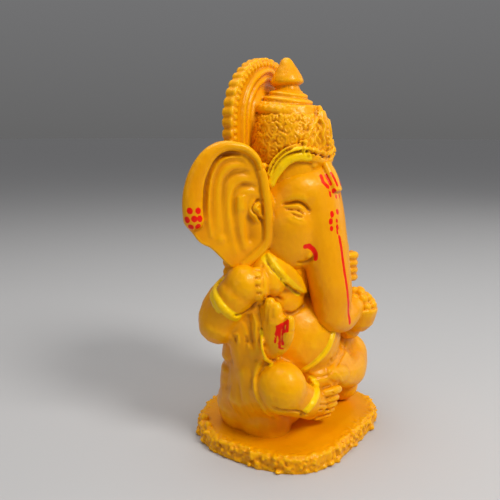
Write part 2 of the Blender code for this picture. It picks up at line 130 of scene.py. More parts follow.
def flowing(stations, steps, closed=False):
    # More stations along a smooth curve through the given ones
    known = [np.array(s, float) for s in stations]
    if closed:
        ends = [known[-1]] + known + known[:2]
    else:
        ends = [known[0] * 2 - known[1]] + known + [known[-1] * 2 - known[-2]]
    result = []
    for i in range(1, len(ends) - 2):
        a, b, c, d = ends[i - 1:i + 3]
        for k in range(steps):
            t = k / steps
            result.append((b * 2 + (c - a) * t + (a * 2 - b * 5 + c * 4 - d) * t ** 2
                           + (b * 3 - a - c * 3 + d) * t ** 3) / 2)
    if not closed:
        result.append(known[-1])
    return result


def addLimb(bm, stations, across=(0, 0, 1), steps=4, sides=12, closed=False, blunt=1.0):
    # A swept form. A station is (x, y, z, half-width) or
    # (x, y, z, half-width along `across`, half-width the other way)
    full = [tuple(s) if len(s) == 5 else tuple(s) + (s[3],) for s in stations]
    line = flowing(full, steps, closed)
    if closed:
        line.append(line[0])
    places = [spot(*s[:3]) for s in line]
    across = Vector(across)
    rings = []
    last = len(line) - 1
    for i, station in enumerate(line):
        if closed:
            ahead = places[(i + 1) % last] - places[(i - 1) % last]
        else:
            ahead = places[min(i + 1, last)] - places[max(i - 1, 0)]
        ahead.normalize()
        wide = (across - ahead * across.dot(ahead)).normalized()
        deep = ahead.cross(wide)
        a = max(station[3], 0.02) * part
        b = max(station[4], 0.02) * part
        turns = [(0.0, 1.0)]
        if i == 0 and not closed:
            turns = [(-0.94 * blunt, 0.34), (-0.7 * blunt, 0.72), (0.0, 1.0)]
        if i == last and not closed:
            turns = [(0.0, 1.0), (0.7 * blunt, 0.72), (0.94 * blunt, 0.34)]
        for along, share in turns:
            centre = places[i] + ahead * along * min(a, b)
            ring = []
            for k in range(sides):
                angle = tau * k / sides
                ring.append(centre + wide * a * share * cos(angle)
                            + deep * b * share * sin(angle))
            rings.append(ring)
    addLayers(bm, rings)


def addTurned(bm, profile, foot, tip=0.0, sides=48):
    # (radius, height) pairs from axis to axis, the axis leaning back by `tip`
    lean = Matrix.Rotation(radians(-tip), 3, "X")
    verts = [bm.verts.new(spot(*foot) + lean @ Vector((r * part, 0, h * part)))
             for r, h in profile]
    edges = [bm.edges.new(pair) for pair in zip(verts, verts[1:])]
    bmesh.ops.spin(bm, geom=verts + edges, axis=lean @ Vector((0, 0, 1)), cent=spot(*foot),
                   angle=tau, steps=sides, use_merge=True)


def linked(name, data):
    obj = bpy.data.objects.new(name, data)
    bpy.context.collection.objects.link(obj)
    return obj


def objectFrom(bm, name):
    mesh = bpy.data.meshes.new(name)
    bm.to_mesh(mesh)
    bm.free()
    return linked(name, mesh)


def applied(obj):
    graph = bpy.context.evaluated_depsgraph_get()
    graph.update()
    mesh = bpy.data.meshes.new_from_object(obj.evaluated_get(graph))
    bpy.data.objects.remove(obj)
    return mesh


def fused(bm, name, cell, passes, triangles=None):
    # One skin over everything in the bmesh, smoothed and thinned
    obj = objectFrom(bm, name)
    skin = obj.modifiers.new("Skin", "REMESH")
    skin.mode = "VOXEL"
    skin.voxel_size = cell * part
    skin.adaptivity = 0.0
    soften = obj.modifiers.new("Soften", "SMOOTH")
    soften.factor = 0.5
    soften.iterations = passes
    mesh = applied(obj)
    if triangles and len(mesh.polygons) * 2 > triangles:
        obj = linked(name, mesh)
        thin = obj.modifiers.new("Thin", "DECIMATE")
        thin.ratio = triangles / (len(mesh.polygons) * 2)
        thin.use_collapse_triangulate = True
        mesh = applied(obj)
    return mesh


def cutBelow(mesh, height):
    # Cuts the mesh off flat at a height and closes it
    bm = bmesh.new()
    bm.from_mesh(mesh)
    bmesh.ops.bisect_plane(bm, geom=bm.verts[:] + bm.edges[:] + bm.faces[:], dist=1e-7,
                           plane_co=spot(0, 0, height), plane_no=(0, 0, -1), clear_outer=True)
    bmesh.ops.contextual_create(bm, geom=[e for e in bm.edges if e.is_boundary])
    bmesh.ops.triangulate(bm, faces=bm.faces)
    bm.to_mesh(mesh)
    bm.free()


def seenOn(bm, pixels):
    # Where the photograph's pixels lie on the forms made so far
    tree = BVHTree.FromBMesh(bm)
    found = []
    for u, v in pixels:
        hit = tree.ray_cast(Vector(view["place"]), pixelRay(u, v))[0]
        if hit is not None:
            found.append(tuple(hit / part - plinthUp))
    return found


def widened(path, *widths):
    # Stations for addLimb from a path, its widths running evenly between those given
    stations = []
    for k, place in enumerate(path):
        at = k * (len(widths) - 1) / max(len(path) - 1, 1)
        low = min(int(at), len(widths) - 2)
        pair = [a + (b - a) * (at - low) for a, b in zip(widths[low], widths[low + 1])]
        stations.append((*place, *pair))
    return stations


def addSoft(bm, build, cell, passes):
    # Adds big forms, first fused coarsely and smoothed until they flow together
    forms = bmesh.new()
    build(forms)
    mesh = fused(forms, "under", cell, passes)
    bm.from_mesh(mesh)
    bpy.data.meshes.remove(mesh)


# Sculpting by moving the points of a finished skin

def alongPath(points, path, reach):
    # Which points lie round a path, how far each is from it, and how far along it
    path = np.array(path, float)
    picked = np.nonzero(((points > path.min(0) - reach) & (points < path.max(0) + reach)).all(1))[0]
    spots = points[picked]
    best = np.full(len(picked), 1e9)
    along = np.zeros(len(picked))
    lengths = np.linalg.norm(path[1:] - path[:-1], axis=1)
    total = max(lengths.sum(), 1e-9)
    done = 0.0
    for a, b, length in zip(path, path[1:], lengths):
        line = b - a
        t = np.clip(((spots - a) @ line) / max(length ** 2, 1e-12), 0, 1)
        gap = np.linalg.norm(spots - (a + t[:, None] * line), axis=1)
        closer = gap < best
        best[closer] = gap[closer]
        along[closer] = ((done + t * length) / total)[closer]
        done += length
    return picked, best, along


surface = {"broad": 0.16, "broadScale": 0.16, "fine": 0.10, "fineScale": 0.62, "headFine": 0.06}


class Clay:
    # The points of a mesh in parts, with their normals, and strokes on them
    def __init__(self, mesh):
        self.mesh = mesh
        self.tree = None
        count = len(mesh.vertices)
        flat = np.empty(count * 3, dtype=np.float32)
        mesh.vertices.foreach_get("co", flat)
        self.points = flat.reshape(-1, 3).astype(float) / part
        self.points[:, 2] -= statue["plinthTop"]
        mesh.vertex_normals.foreach_get("vector", flat)
        self.normals = flat.reshape(-1, 3).astype(float)

    def near(self, path, reach, steps):
        smooth = flowing(path, steps) if len(path) > 2 else path
        picked, gap, along = alongPath(self.points, smooth, reach)
        kept = gap < reach
        return picked[kept], gap[kept], along[kept]

    def stroke(self, path, width, height, steps=6, taper=0.0, fade=0.0):
        # Raises (or with a negative height cuts) a soft line along a path
        picked, gap, along = self.near(path, width, steps)
        weight = (0.5 + 0.5 * np.cos(np.pi * gap / width)) * (1 - fade * along)
        if taper:
            weight = weight * np.clip(np.minimum(along, 1 - along) / taper, 0, 1) ** 0.7
        self.points[picked] += self.normals[picked] * (weight * height)[:, None]

    def plate(self, path, widths, height, edge):
        # Raises a flat patch with a clear edge, its half-widths given along the path
        picked, gap, along = self.near(path, max(widths) + edge, 6)
        width = np.interp(along, np.linspace(0, 1, len(widths)), widths)
        weight = np.clip((width - gap) / edge + 0.5, 0, 1)
        weight = weight * weight * (3 - 2 * weight)
        self.points[picked] += self.normals[picked] * (weight * height)[:, None]

    def relief(self, lines):
        # Raises many crossing lines at once, (path, width, height) each,
        # without their heights adding up where they meet
        raised = np.zeros(len(self.points))
        for path, width, height in lines:
            picked, gap, along = self.near(path, width, 4)
            weight = (0.5 + 0.5 * np.cos(np.pi * gap / width)) * height
            raised[picked] = np.maximum(raised[picked], weight)
        self.points += self.normals * raised[:, None]

    def uneven(self, fine):
        # The hand-made casting is never quite smooth
        swell = [noise.noise(p * surface["broadScale"]) * surface["broad"]
                 + noise.noise(p * surface["fineScale"]) * fine for p in map(Vector, self.points)]
        self.points += self.normals * np.array(swell)[:, None]

    def skinTree(self):
        if self.tree is None:
            faces = [tuple(p.vertices) for p in self.mesh.polygons]
            self.tree = BVHTree.FromPolygons(self.points.tolist(), faces)
        return self.tree

    def onSkin(self, path):
        return [tuple(self.skinTree().find_nearest(Vector(p[:3]))[0]) for p in path]

    def seen(self, pixels):
        # Where the photograph's pixels lie on this skin
        hits = [self.skinTree().ray_cast(eye, pixelRay(u, v))[0] for u, v in pixels]
        return [tuple(hit) for hit in hits if hit is not None]

    def seenBoth(self, pixels):
        # The same marks on the right side, which shows, and on the left
        right = self.seen(pixels)
        return right, self.onSkin(mirrored(right))

    def store(self):
        flat = self.points.copy()
        flat[:, 2] += statue["plinthTop"]
        self.mesh.vertices.foreach_set("co", (flat * part).astype(np.float32).ravel())
        self.mesh.update()


# Paint marks and gilding, held as distances so that their edges stay crisp

def distanceTo(points, paths, reach=4.0, far=9.0):
    # The least distance to a set of (path, half-width), less than 0 inside
    result = np.full(len(points), far)
    for path, width in paths:
        path = list(path) * (2 if len(path) == 1 else 1)
        picked, gap, along = alongPath(points, path, reach)
        result[picked] = np.minimum(result[picked], gap - width)
    return result


def hollows(mesh, points, normals, passes=6):
    # How far each point lies below its neighbours: the paint is darkened there as painted shade
    count = len(points)
    pairs = np.empty(len(mesh.edges) * 2, dtype=np.int32)
    mesh.edges.foreach_get("vertices", pairs)
    first, second = pairs.reshape(-1, 2).T

    def spread(values):
        return np.bincount(first, values[second], count) + np.bincount(second, values[first], count)

    share = np.maximum(spread(np.ones(count)), 1)
    mean = points
    for turn in range(passes):
        mean = np.stack([spread(mean[:, axis]) / share for axis in range(3)], axis=1)
    depth = ((mean - points) * normals).sum(1)
    for turn in range(passes // 2):
        depth = 0.5 * depth + 0.5 * spread(depth) / share
    return depth


def store(mesh, name, values):
    layer = mesh.attributes.new(name, "FLOAT", "POINT")
    layer.data.foreach_set("value", np.asarray(values, dtype=np.float32))


# Plinth

plinthShape = {
    "width": 75.0, "depth": 67.0, "advance": 0.5,
    "frontSquareness": 3.5, "backSquareness": 2.1,
    "lump": (0.9, 2.3), "lumpRows": (-5.4, -3.8, -2.3, -1.1), "lumpSpacing": 3.2,
    "seed": 11, "below": 9.0, "cell": 1.05,
    "smoothInside": 5.5, "smoothEdge": 3.0,
    "knob": 0.42, "knobScale": 0.55, "pit": 0.75, "pitScale": 0.9, "pitFrom": 0.25,
}


def plinthEdge(angle, inset=0.0):
    shape = plinthShape
    squareness = shape["frontSquareness"] if sin(angle) < 0 else shape["backSquareness"]
    wide = abs(cos(angle)) / (shape["width"] / 2 - inset)
    deep = abs(sin(angle)) / (shape["depth"] / 2 - inset)
    reach = (wide ** squareness + deep ** squareness) ** (-1 / squareness)
    return cos(angle) * reach, sin(angle) * reach - shape["advance"]


def makePlinth():
    shape = plinthShape
    bm = bmesh.new()
    ring = [tau * k / 120 for k in range(120)]
    addLayers(bm, [[spot(*plinthEdge(a, inset), z) for a in ring]
                   for z, inset in ((-shape["below"], 0.6), (-3.2, 0.2), (-0.9, 0.5), (-0.15, 1.6),
                                    (-0.2, 4.5), (0.0, 7.5))])
    chance = random.Random(shape["seed"])
    around = pi * (shape["width"] + shape["depth"]) / 2
    for row, z in enumerate(shape["lumpRows"]):
        count = round(around / shape["lumpSpacing"])
        for k in range(count):
            angle = tau * (k + 0.37 * row + chance.uniform(-0.35, 0.35)) / count
            radius = chance.uniform(*shape["lump"]) * (1.0 - 0.12 * row)
            x, y = plinthEdge(angle, radius * chance.uniform(0.5, 1.0))
            addBall(bm, (x, y, z + chance.uniform(-0.5, 0.3)),
                    (radius * chance.uniform(0.8, 1.4), radius, radius * chance.uniform(0.6, 0.9)),
                    (0, 0, degrees(angle)), 2)
    for angle, size in ((2.42, 1.9), (2.62, 1.5), (0.62, 2.0), (0.9, 1.4)):
        x, y = plinthEdge(angle, 2.2)
        addBall(bm, (x, y, 0.5), (size, size, 1.7), cuts=2)
    mesh = fused(bm, "plinth", statue["fine"] * shape["cell"], 1)
    cutBelow(mesh, -statue["plinthTop"])
    clay = Clay(mesh)
    roughenRim(clay)
    clay.store()
    return mesh, clay


def roughenRim(clay):
    # Pits and knobs on the rim, fading out where the smooth top begins
    shape = plinthShape
    points = clay.points
    turns = np.linspace(-pi, pi, 361)
    edges = np.array([plinthEdge(a) for a in turns])
    deep = points[:, 1] + shape["advance"]
    angles = np.arctan2(deep, points[:, 0])
    reach = np.interp(angles, turns, np.hypot(edges[:, 0], edges[:, 1] + shape["advance"]))
    inner = reach - np.hypot(points[:, 0], deep)
    weight = np.clip((shape["smoothInside"] - inner) / shape["smoothEdge"], 0, 1)
    weight = weight * (points[:, 2] > 0.05 - statue["plinthTop"])
    for i in np.nonzero(weight > 0)[0]:
        x, y, z = points[i]
        knob = noise.fractal(Vector((x, y, z)) * shape["knobScale"], 1.0, 2.1, 3)
        pit = noise.noise(Vector((x + 40, y, z)) * shape["pitScale"])
        height = shape["knob"] * knob - shape["pit"] * max(pit - shape["pitFrom"], 0)
        points[i] += clay.normals[i] * height * weight[i]
    low = points[:, 2] < -statue["plinthTop"] + 0.02
    points[low, 2] = -statue["plinthTop"]


# Seated body

body = {"smoothing": 10, "armSmoothing": 5, "fingers": 4, "fingerRise": 3.1, "foot": -4}


def bodyUnder(bm):
    # Torso, belly, haunches, thighs and shins
    addBall(bm, (0, 5, 12), (24, 18, 17))
    addBall(bm, (0, 8.5, 34), (21, 13.5, 27))
    addBall(bm, (0, 6, 57), (25, 11, 12))
    addBall(bm, (0, -4, 34), (20, 20, 19.5))
    addBall(bm, (0, -2.5, 60), (20.5, 12.5, 13))
    for side in bothSides:
        addLimb(bm, [(side * 16.5, -2, 67, 4.2), (side * 16, -6, 64, 4.8), (side * 13.2, -8.8, 60, 4.8),
                     (side * 9, -10.2, 56, 4.6)], steps=3, sides=14)
        addBall(bm, (side * 10.5, -6.4, 51), (8.6, 7.4, 7.6))
        addLimb(bm, [(side * 18, 6, 35, 9.4), (side * 18, 6.5, 24, 10.5), (side * 17.5, 6, 12, 11.5)],
                steps=3, sides=18)
        addBall(bm, (side * 21, 4, 58), (9, 9, 10))
        addLimb(bm, [(side * 19.6, -4.2, 60.5, 7.6), (side * 16.5, -2, 66, 7), (side * 11, 0, 72, 8)],
                steps=3, sides=16)
        addBall(bm, (side * 15, 6, 8), (14, 14, 14))
        addLimb(bm, [(side * 12, 5, 15, 12), (side * 20, -4, 18, 11.5), (side * 25, -12, 21.5, 10)],
                steps=3, sides=16)
    addLimb(bm, [(-17, 1.5, 12, 12.2), (-17.4, -1.8, 4, 11.4), (-18, -4, -2, 9.2)], steps=3, sides=18)
    addLimb(bm, [(-23.5, -1.5, 38, 7.2), (-23.6, -2, 28, 8.9), (-22, -3, 18, 10.7)], steps=3, sides=18)
    addLimb(bm, [(-21.5, 2.5, 38, 6.6), (-21.8, 1.5, 28, 8.6), (-21, 0.5, 15, 11.4)], steps=3, sides=18)
    addBall(bm, (-11, -8, 6.2), (6.4, 6.4, 6))
    addBall(bm, (-26.5, -14.5, 22), (9, 10.0, 10.2))
    addLimb(bm, [(-26, -15, 20.5, 8.6), (-20, -18.4, 16, 7), (-13, -19, 12.6, 5.8),
                 (-9, -19.4, 11, 5.6)], sides=16)
    addBall(bm, (27, -16, 19.5), (9.3, 9.3, 9.6))
    addBall(bm, (20, -12, 26), (9, 9, 8))
    addBall(bm, (23, -14, 7), (7.5, 9.5, 7.5))
    addLimb(bm, [(26, -17, 17, 9), (18, -21, 16, 7.5), (11, -22, 17, 6), (5, -22, 18, 5)], sides=16)
    addLimb(bm, [(13, -17.5, 20, 7.5), (5, -18.6, 20.2, 6.8), (-5, -17.6, 19.2, 6.0)], steps=3, sides=16)


def armsUnder(bm):
    addLimb(bm, [(-19, 7, 56, 9), (-25, 11, 49, 9), (-29, 11, 44, 9)], sides=16)
    addLimb(bm, [(-29, 11, 44, 8.6), (-30, 6, 51, 7.4), (-29.2, 3, 56, 7.6)], sides=16)
    addBall(bm, (-28.6, 1.0, 58.8), (7, 7.4, 8.2))
    addLimb(bm, [(-21, 5, 55, 8), (-24.4, 3, 43, 7.4), (-25.0, 1, 34, 7.0), (-23.6, -1, 24, 7.8)], sides=16)
    addLimb(bm, [(-25.0, 2, 33, 6.2), (-26.0, -3, 34, 5.8), (-26.8, -8, 36.5, 5.2)], sides=16)
    addLimb(bm, [(-25.0, -5, 37, 5.6), (-24.8, -5, 30, 7.0), (-24.0, -5, 22, 8.6)], steps=3, sides=16)
    addLimb(bm, [(-23.6, -2.5, 52, 4.6), (-25.0, -4.5, 45, 5.2), (-25.6, -6.5, 38, 5.2)], sides=16)
    addLimb(bm, [(19, 6, 55, 9), (27, 6, 48, 8.5), (31, 2, 44, 8)], sides=16)
    addLimb(bm, [(31, 2, 44, 7.6), (31, -6, 50, 6.5), (29.5, -11, 55, 6)], sides=16)
    addBall(bm, (28.5, -12.5, 58), (5.5, 5.5, 7.5))
    addLimb(bm, [(21, 4, 54, 8.5), (26, 0, 42, 8), (27, -5, 33, 7)], sides=16)
    addLimb(bm, [(27, -5, 32, 6.8), (25, -14, 33, 6), (18.5, -21, 35, 5.4)], sides=16)


def ringPath(centre, axis, radii, count=24):
    axis = Vector(axis).normalized()
    wide = axis.orthogonal().normalized()
    deep = axis.cross(wide)
    return [tuple(Vector(centre) + wide * radii[0] * cos(tau * k / count)
                  + deep * radii[1] * sin(tau * k / count)) for k in range(count)]


bands = {
    "armBangle": {"centre": (-29.6, 6.6, 51.8), "axis": (0.02, -0.60, 0.80), "radii": (7.2, 7.2),
                  "girth": 1.1, "gilt": 1.7, "shown": 1.0},
    "wristBangle": {"centre": (-26.6, -9.4, 37.4), "axis": (0.1, -0.94, 0.3), "radii": (6.2, 5.6),
                    "girth": 0.65, "gilt": 0.9, "shown": 9.0},
    "leftBangle": {"centre": (30.6, -4.6, 49.4), "axis": (-0.05, -0.75, 0.62),
                   "radii": (7.1, 7.1), "girth": 1.4, "gilt": 2.2, "shown": 9.0},
    "bowlBangle": {"centre": (24.6, -14.6, 33.2), "axis": (-0.45, -0.88, 0.12),
                   "radii": (6.4, 6.4), "girth": 0.8, "gilt": 1.2, "shown": 9.0},
}
# Ornaments that lie on the skin, by their middle lines in the photograph (pixels)
bodyPixels = {
    "belt": ((333.5, 326), (333, 334), (330.5, 343), (325.5, 352), (318.5, 360), (311, 366), (305, 369.5)),
    "anklet": ((311.5, 380), (315.5, 386), (316.5, 394), (312.5, 403), (306.5, 410.5)),
    "collar": ((268.5, 255), (277, 263.5), (287, 273), (296, 281.5), (304, 291)),
    "collarStrip": ((266, 257.5), (274, 267), (283, 277.5), (291.5, 285.5), (299, 291.5)),
    "armBangle": ((221, 280), (216, 286), (215, 293), (218, 301), (224, 309), (231, 315), (237, 317.5)),
    "collarEdge": ((264.5, 258.5), (271.5, 268), (280.5, 278), (290, 287), (300, 294)),
    "hem": ((265, 358.5), (258.5, 366), (255.5, 376), (255.5, 388), (258.5, 398.5), (264, 407.5),
            (271.5, 414.5), (281, 419)),
}
giltWidths = {"belt": 1.7, "anklet": 1.8, "armBangle": 1.9, "collarStrip": 1.9}


def bodyDetails(bm):
    for band in bands.values():
        path = ringPath(band["centre"], band["axis"], band["radii"])
        addLimb(bm, [(*p, band["girth"] * 1.15, band["girth"] * 0.8) for p in path],
                across=band["axis"], steps=1, sides=10, closed=True)
    found = {name: seenOn(bm, pixels) for name, pixels in bodyPixels.items()}
    addLimb(bm, widened(found["belt"], (1.35, 0.9), (1.25, 0.9), (0.7, 0.7)), across=(-0.7, 0, -0.7),
            sides=10)
    addLimb(bm, widened(found["armBangle"], (0.9, 0.8), (1.6, 1.2), (1.6, 1.2), (0.8, 0.7)),
            across=(0.1, -0.6, 0.8))
    addLimb(bm, widened(found["anklet"], (0.9, 1.0), (1.45, 1.1), (1.3, 1.1)), across=(0.6, -0.8, 0),
            sides=10)
    rightFoot(bm)
    leftFoot(bm)
    closedHand(bm)
    blessingHand(bm)
    pointingHand(bm)
    sweetsBowl(bm)
    return found


def rightFoot(bm):
    addLimb(bm, [(-13, -18.4, 10.8, 5.6, 5.0), (-9.5, -18.8, 10.6, 5.7, 4.6),
                 (-6.6, -19.8, 10.2, 5.2, 3.8)], sides=16)
    tips = ((15.4, -26.4, 1.55), (12.1, -25.9, 1.25), (9.4, -25.3, 1.2), (6.8, -24.4, 1.15),
            (4.3, -23.2, 1.05))
    for k, (z, y, girth) in enumerate(tips):
        addLimb(bm, [(-8.4, y + 3.4, z - 0.1, girth), (-5.2, y + 1.2, z + 0.3, girth * 1.1),
                     (-1.6 - 0.35 * k, y + 0.4, z, girth)], steps=3)


def leftFoot(bm):
    addLimb(bm, [(9, -21.6, 18, 5), (3.5, -22.6, 19.4, 4.6), (-2, -21.6, 21, 3.8)], sides=16)
    for k in range(4):
        z = 16.6 + 2.1 * k
        addLimb(bm, [(1, -24.2 + 0.5 * k, z + 0.6, 1.3), (-4.4 + 0.5 * k, -23 + 0.9 * k, z + 1.6, 1.1)],
                steps=2, sides=8)


def closedHand(bm):
    # The raised right hand closes into a ball; only its knuckles are marked
    addBall(bm, (-26.2, -3.4, 58.8), (5.6, 5.2, 7.4))
    for k in range(body["fingers"]):
        addBall(bm, (-23.5, -5.3, 54.0 + body["fingerRise"] * k), (2.0, 1.9, 1.75), cuts=2)


def blessingHand(bm):
    addLimb(bm, [(-27, -8.5, 36.5, 5.2, 3.6), (-27, -12, 41, 6.6, 3.8), (-27, -12.4, 47, 6.0, 3.4)],
            across=(0, 1, 0), sides=16)
    for x, y, top, girth in ((-26.6, -8.2, 51.6, 2.4), (-27.2, -10.6, 53.6, 2.6),
                             (-26.9, -12.9, 52.2, 2.5)):
        addLimb(bm, [(x, y - 0.6, 42, girth), (x - 0.3, y - 0.2, 47.5, girth),
                     (x, y + 0.6, top, girth * 0.9)])
    addLimb(bm, [(-26.6, -15.0, 38.5, 2.6), (-27.8, -17.8, 43.5, 2.4), (-27.6, -18.4, 48.6, 1.9)])


def pointingHand(bm):
    for k in range(body["fingers"]):
        z = 53.8 + body["fingerRise"] * k
        addLimb(bm, [(32.4, -14.4, z, 1.6), (29, -17.8, z, 1.75), (25.4, -17.2, z + 0.2, 1.6),
                     (23.6, -15.2, z + 0.3, 1.3)], steps=3, sides=10)
    addLimb(bm, [(26.8, -14.3, 62, 1.9), (25.6, -14.9, 68.4, 1.5)], steps=2, sides=10)


bowl = {"centre": (18.5, -24.5, 42), "sweet": 2.3, "seed": 4}


def sweetsBowl(bm):
    addTurned(bm, [(0, -8), (4, -7.6), (6.6, -4.5), (7.8, 0), (8.1, 1.8), (7.9, 2.6), (7.0, 2.6),
                   (0, 2.0)], bowl["centre"], tip=-4)
    x, y, z = bowl["centre"]
    addBall(bm, (x, y, z + 2.4), (4.9, 4.9, 4.2))
    chance = random.Random(bowl["seed"])
    size = bowl["sweet"]
    for ring, (reach, rise, count) in enumerate(((5.6, 3.4, 9), (3.9, 6.0, 7), (1.7, 7.9, 3))):
        for k in range(count):
            angle = tau * (k + 0.5 * ring) / count
            addBall(bm, (x + reach * cos(angle), y + reach * sin(angle),
                         z + rise + chance.uniform(-0.3, 0.3)),
                    [size * chance.uniform(0.88, 1.08)] * 3, cuts=2)


# Creases (below 0) and ridges drawn on the body: pixels, half-width and height in parts
bodyStrokes = (
    (((255, 270), (261, 270.5)), 0.8, -0.9), (((254.5, 278), (261, 278)), 0.8, -0.9),
    (((255, 286), (261, 286)), 0.8, -0.9), (((256, 294), (262, 293.5)), 0.8, -0.8),
    (((262, 263), (262.5, 275), (262.5, 290)), 0.8, -0.8),
    (((271, 406), (280, 410), (290, 411), (300, 412), (309, 414.5)), 0.9, -0.9),
    (((237, 378), (240, 394), (245, 410), (252, 424)), 1.5, -0.28),
    (((231, 392), (234, 408), (241, 424)), 1.5, 0.25), (((246, 392), (249, 404), (255, 414)), 1.3, 0.25),
    (((221, 360), (227, 362), (233, 361)), 1.5, -0.35), (((222, 386), (227, 388), (233, 386)), 1.4, -0.4),
    (((263, 297), (270, 297), (277, 297.5), (284, 301)), 1.2, -0.6),
    (((284, 312), (291, 314), (299, 310), (305, 304)), 1.4, -0.8),
    (((233, 316), (243, 314), (252, 308), (258, 301)), 1.0, -0.7),
    (((240, 320), (245, 328), (247, 338), (249, 350)), 1.1, 0.35),
    (((252, 312), (256, 324), (256, 338), (259, 352)), 1.1, 0.35),
    (((247, 314), (250.5, 326), (252, 340), (254, 352)), 0.8, -0.4),
    (((246, 335), (247.5, 343)), 0.8, -0.9), (((235.5, 338), (236, 341)), 0.9, -0.9),
    (((233, 335), (237, 334), (239, 339), (237, 344)), 0.7, 0.5),
    (((257, 329), (258, 331)), 0.8, -0.7), (((261, 328), (262, 330)), 0.7, -0.6),
    (((286, 315), (287.5, 321)), 1.3, -1.4), (((270, 300), (267, 316), (266, 332)), 0.9, -0.35),
    (((344.5, 332), (345.5, 345), (342, 357), (336, 367)), 0.7, -0.5),
    (((306, 373), (314, 377), (325, 376), (334, 371)), 0.9, -0.45),
    (((333, 371), (338, 375), (342.5, 382.5)), 1.0, 0.3),
    (((341.5, 393), (340, 402), (337, 408)), 0.8, -1.0),
    (((302, 413.5), (301, 416.5)), 1.2, -0.9), (((331, 417), (333, 418.5)), 1.1, -0.9),
    (((331, 358), (332, 361)), 0.9, -0.5),
    (((342, 394.5), (333, 393), (322, 393)), 0.6, -0.7),
    (((339.5, 400.5), (331, 399), (321, 399)), 0.6, -0.7),
    (((337, 406), (329, 404.5), (319.5, 405)), 0.6, -0.7),
    (((334, 411), (327, 409.5), (318.5, 410.5)), 0.6, -0.7),
)


def drawOnBody(clay, found):
    for pixels, width, height in bodyStrokes:
        path = clay.seen(pixels)
        if len(path) > 1:
            clay.stroke(path, width, height, taper=0.12)
    clay.stroke(found["hem"], 1.7, 0.95, taper=0.1)
    for path in clay.seenBoth(flowing(bodyPixels["collar"], 3)):
        clay.plate(path, (0.8, 2.8, 3.3, 2.6, 0.8), 1.0, 0.8)
    for path in clay.seenBoth(flowing(bodyPixels["collarEdge"], 3)):
        clay.stroke(path, 0.9, -0.6, taper=0.1)
    clay.stroke([(0, 22, 48), (0, 22.5, 36), (0, 22.6, 24)], 2.4, -0.8, taper=0.35)
    for side in bothSides:
        clay.stroke([(side * 9, 21, 8), (side * 12, 20, 16), (side * 15, 16, 26)], 2.0, 0.4,
                    taper=0.3)
    clay.stroke(clay.onSkin(mirrored(found["hem"])), 1.7, 0.8, taper=0.1)


def makeBody():
    bm = bmesh.new()
    addSoft(bm, bodyUnder, statue["coarse"], body["smoothing"])
    addSoft(bm, armsUnder, statue["coarse"], body["armSmoothing"])
    found = bodyDetails(bm)
    mesh = fused(bm, "body", statue["fine"], 1, statue["triangles"])
    cutBelow(mesh, body["foot"])
    clay = Clay(mesh)
    drawOnBody(clay, found)
    clay.uneven(surface["fine"])
    clay.store()
    return mesh, clay, found


# Head, trunk and ears

head = {"smoothing": 14, "earCell": 0.5, "earSmoothing": 2, "cell": 0.95}


def headUnder(bm):
    addBall(bm, (0, -2.5, 84), (19, 18, 20))
    addBall(bm, (0, -8.5, 92), (16.5, 13, 11.5))
    addBall(bm, (0, -4, 72), (18, 12.5, 11))
    addBall(bm, (0, 5, 90), (17, 10.5, 27))
    for side in bothSides:
        addBall(bm, (side * 9.5, -6.5, 74.5), (10.8, 11.4, 13.2))
        addBall(bm, (side * 10, -7.6, 79), (10.3, 10.8, 13))
        addLimb(bm, [(side * 10.5, -10.5, 84, 5), (side * 10.5, -12.5, 77, 5.4),
                     (side * 9.5, -12.5, 72, 5)], steps=3, sides=14)
    addLimb(bm, [(0, -13, 94, 11.5, 9), (0, -15, 84, 11.5, 9.5), (0, -17, 74, 11, 9.2),
                 (0, -19.2, 64, 10.4, 8.4), (0, -21.2, 53, 9.2, 8), (-0.5, -21.5, 46, 7.6, 7)],
            across=(1, 0, 0), sides=20)
    addLimb(bm, [(-1, -21.5, 45, 7), (5, -23.5, 42.5, 6), (12, -25, 45, 5)], steps=3, sides=16)


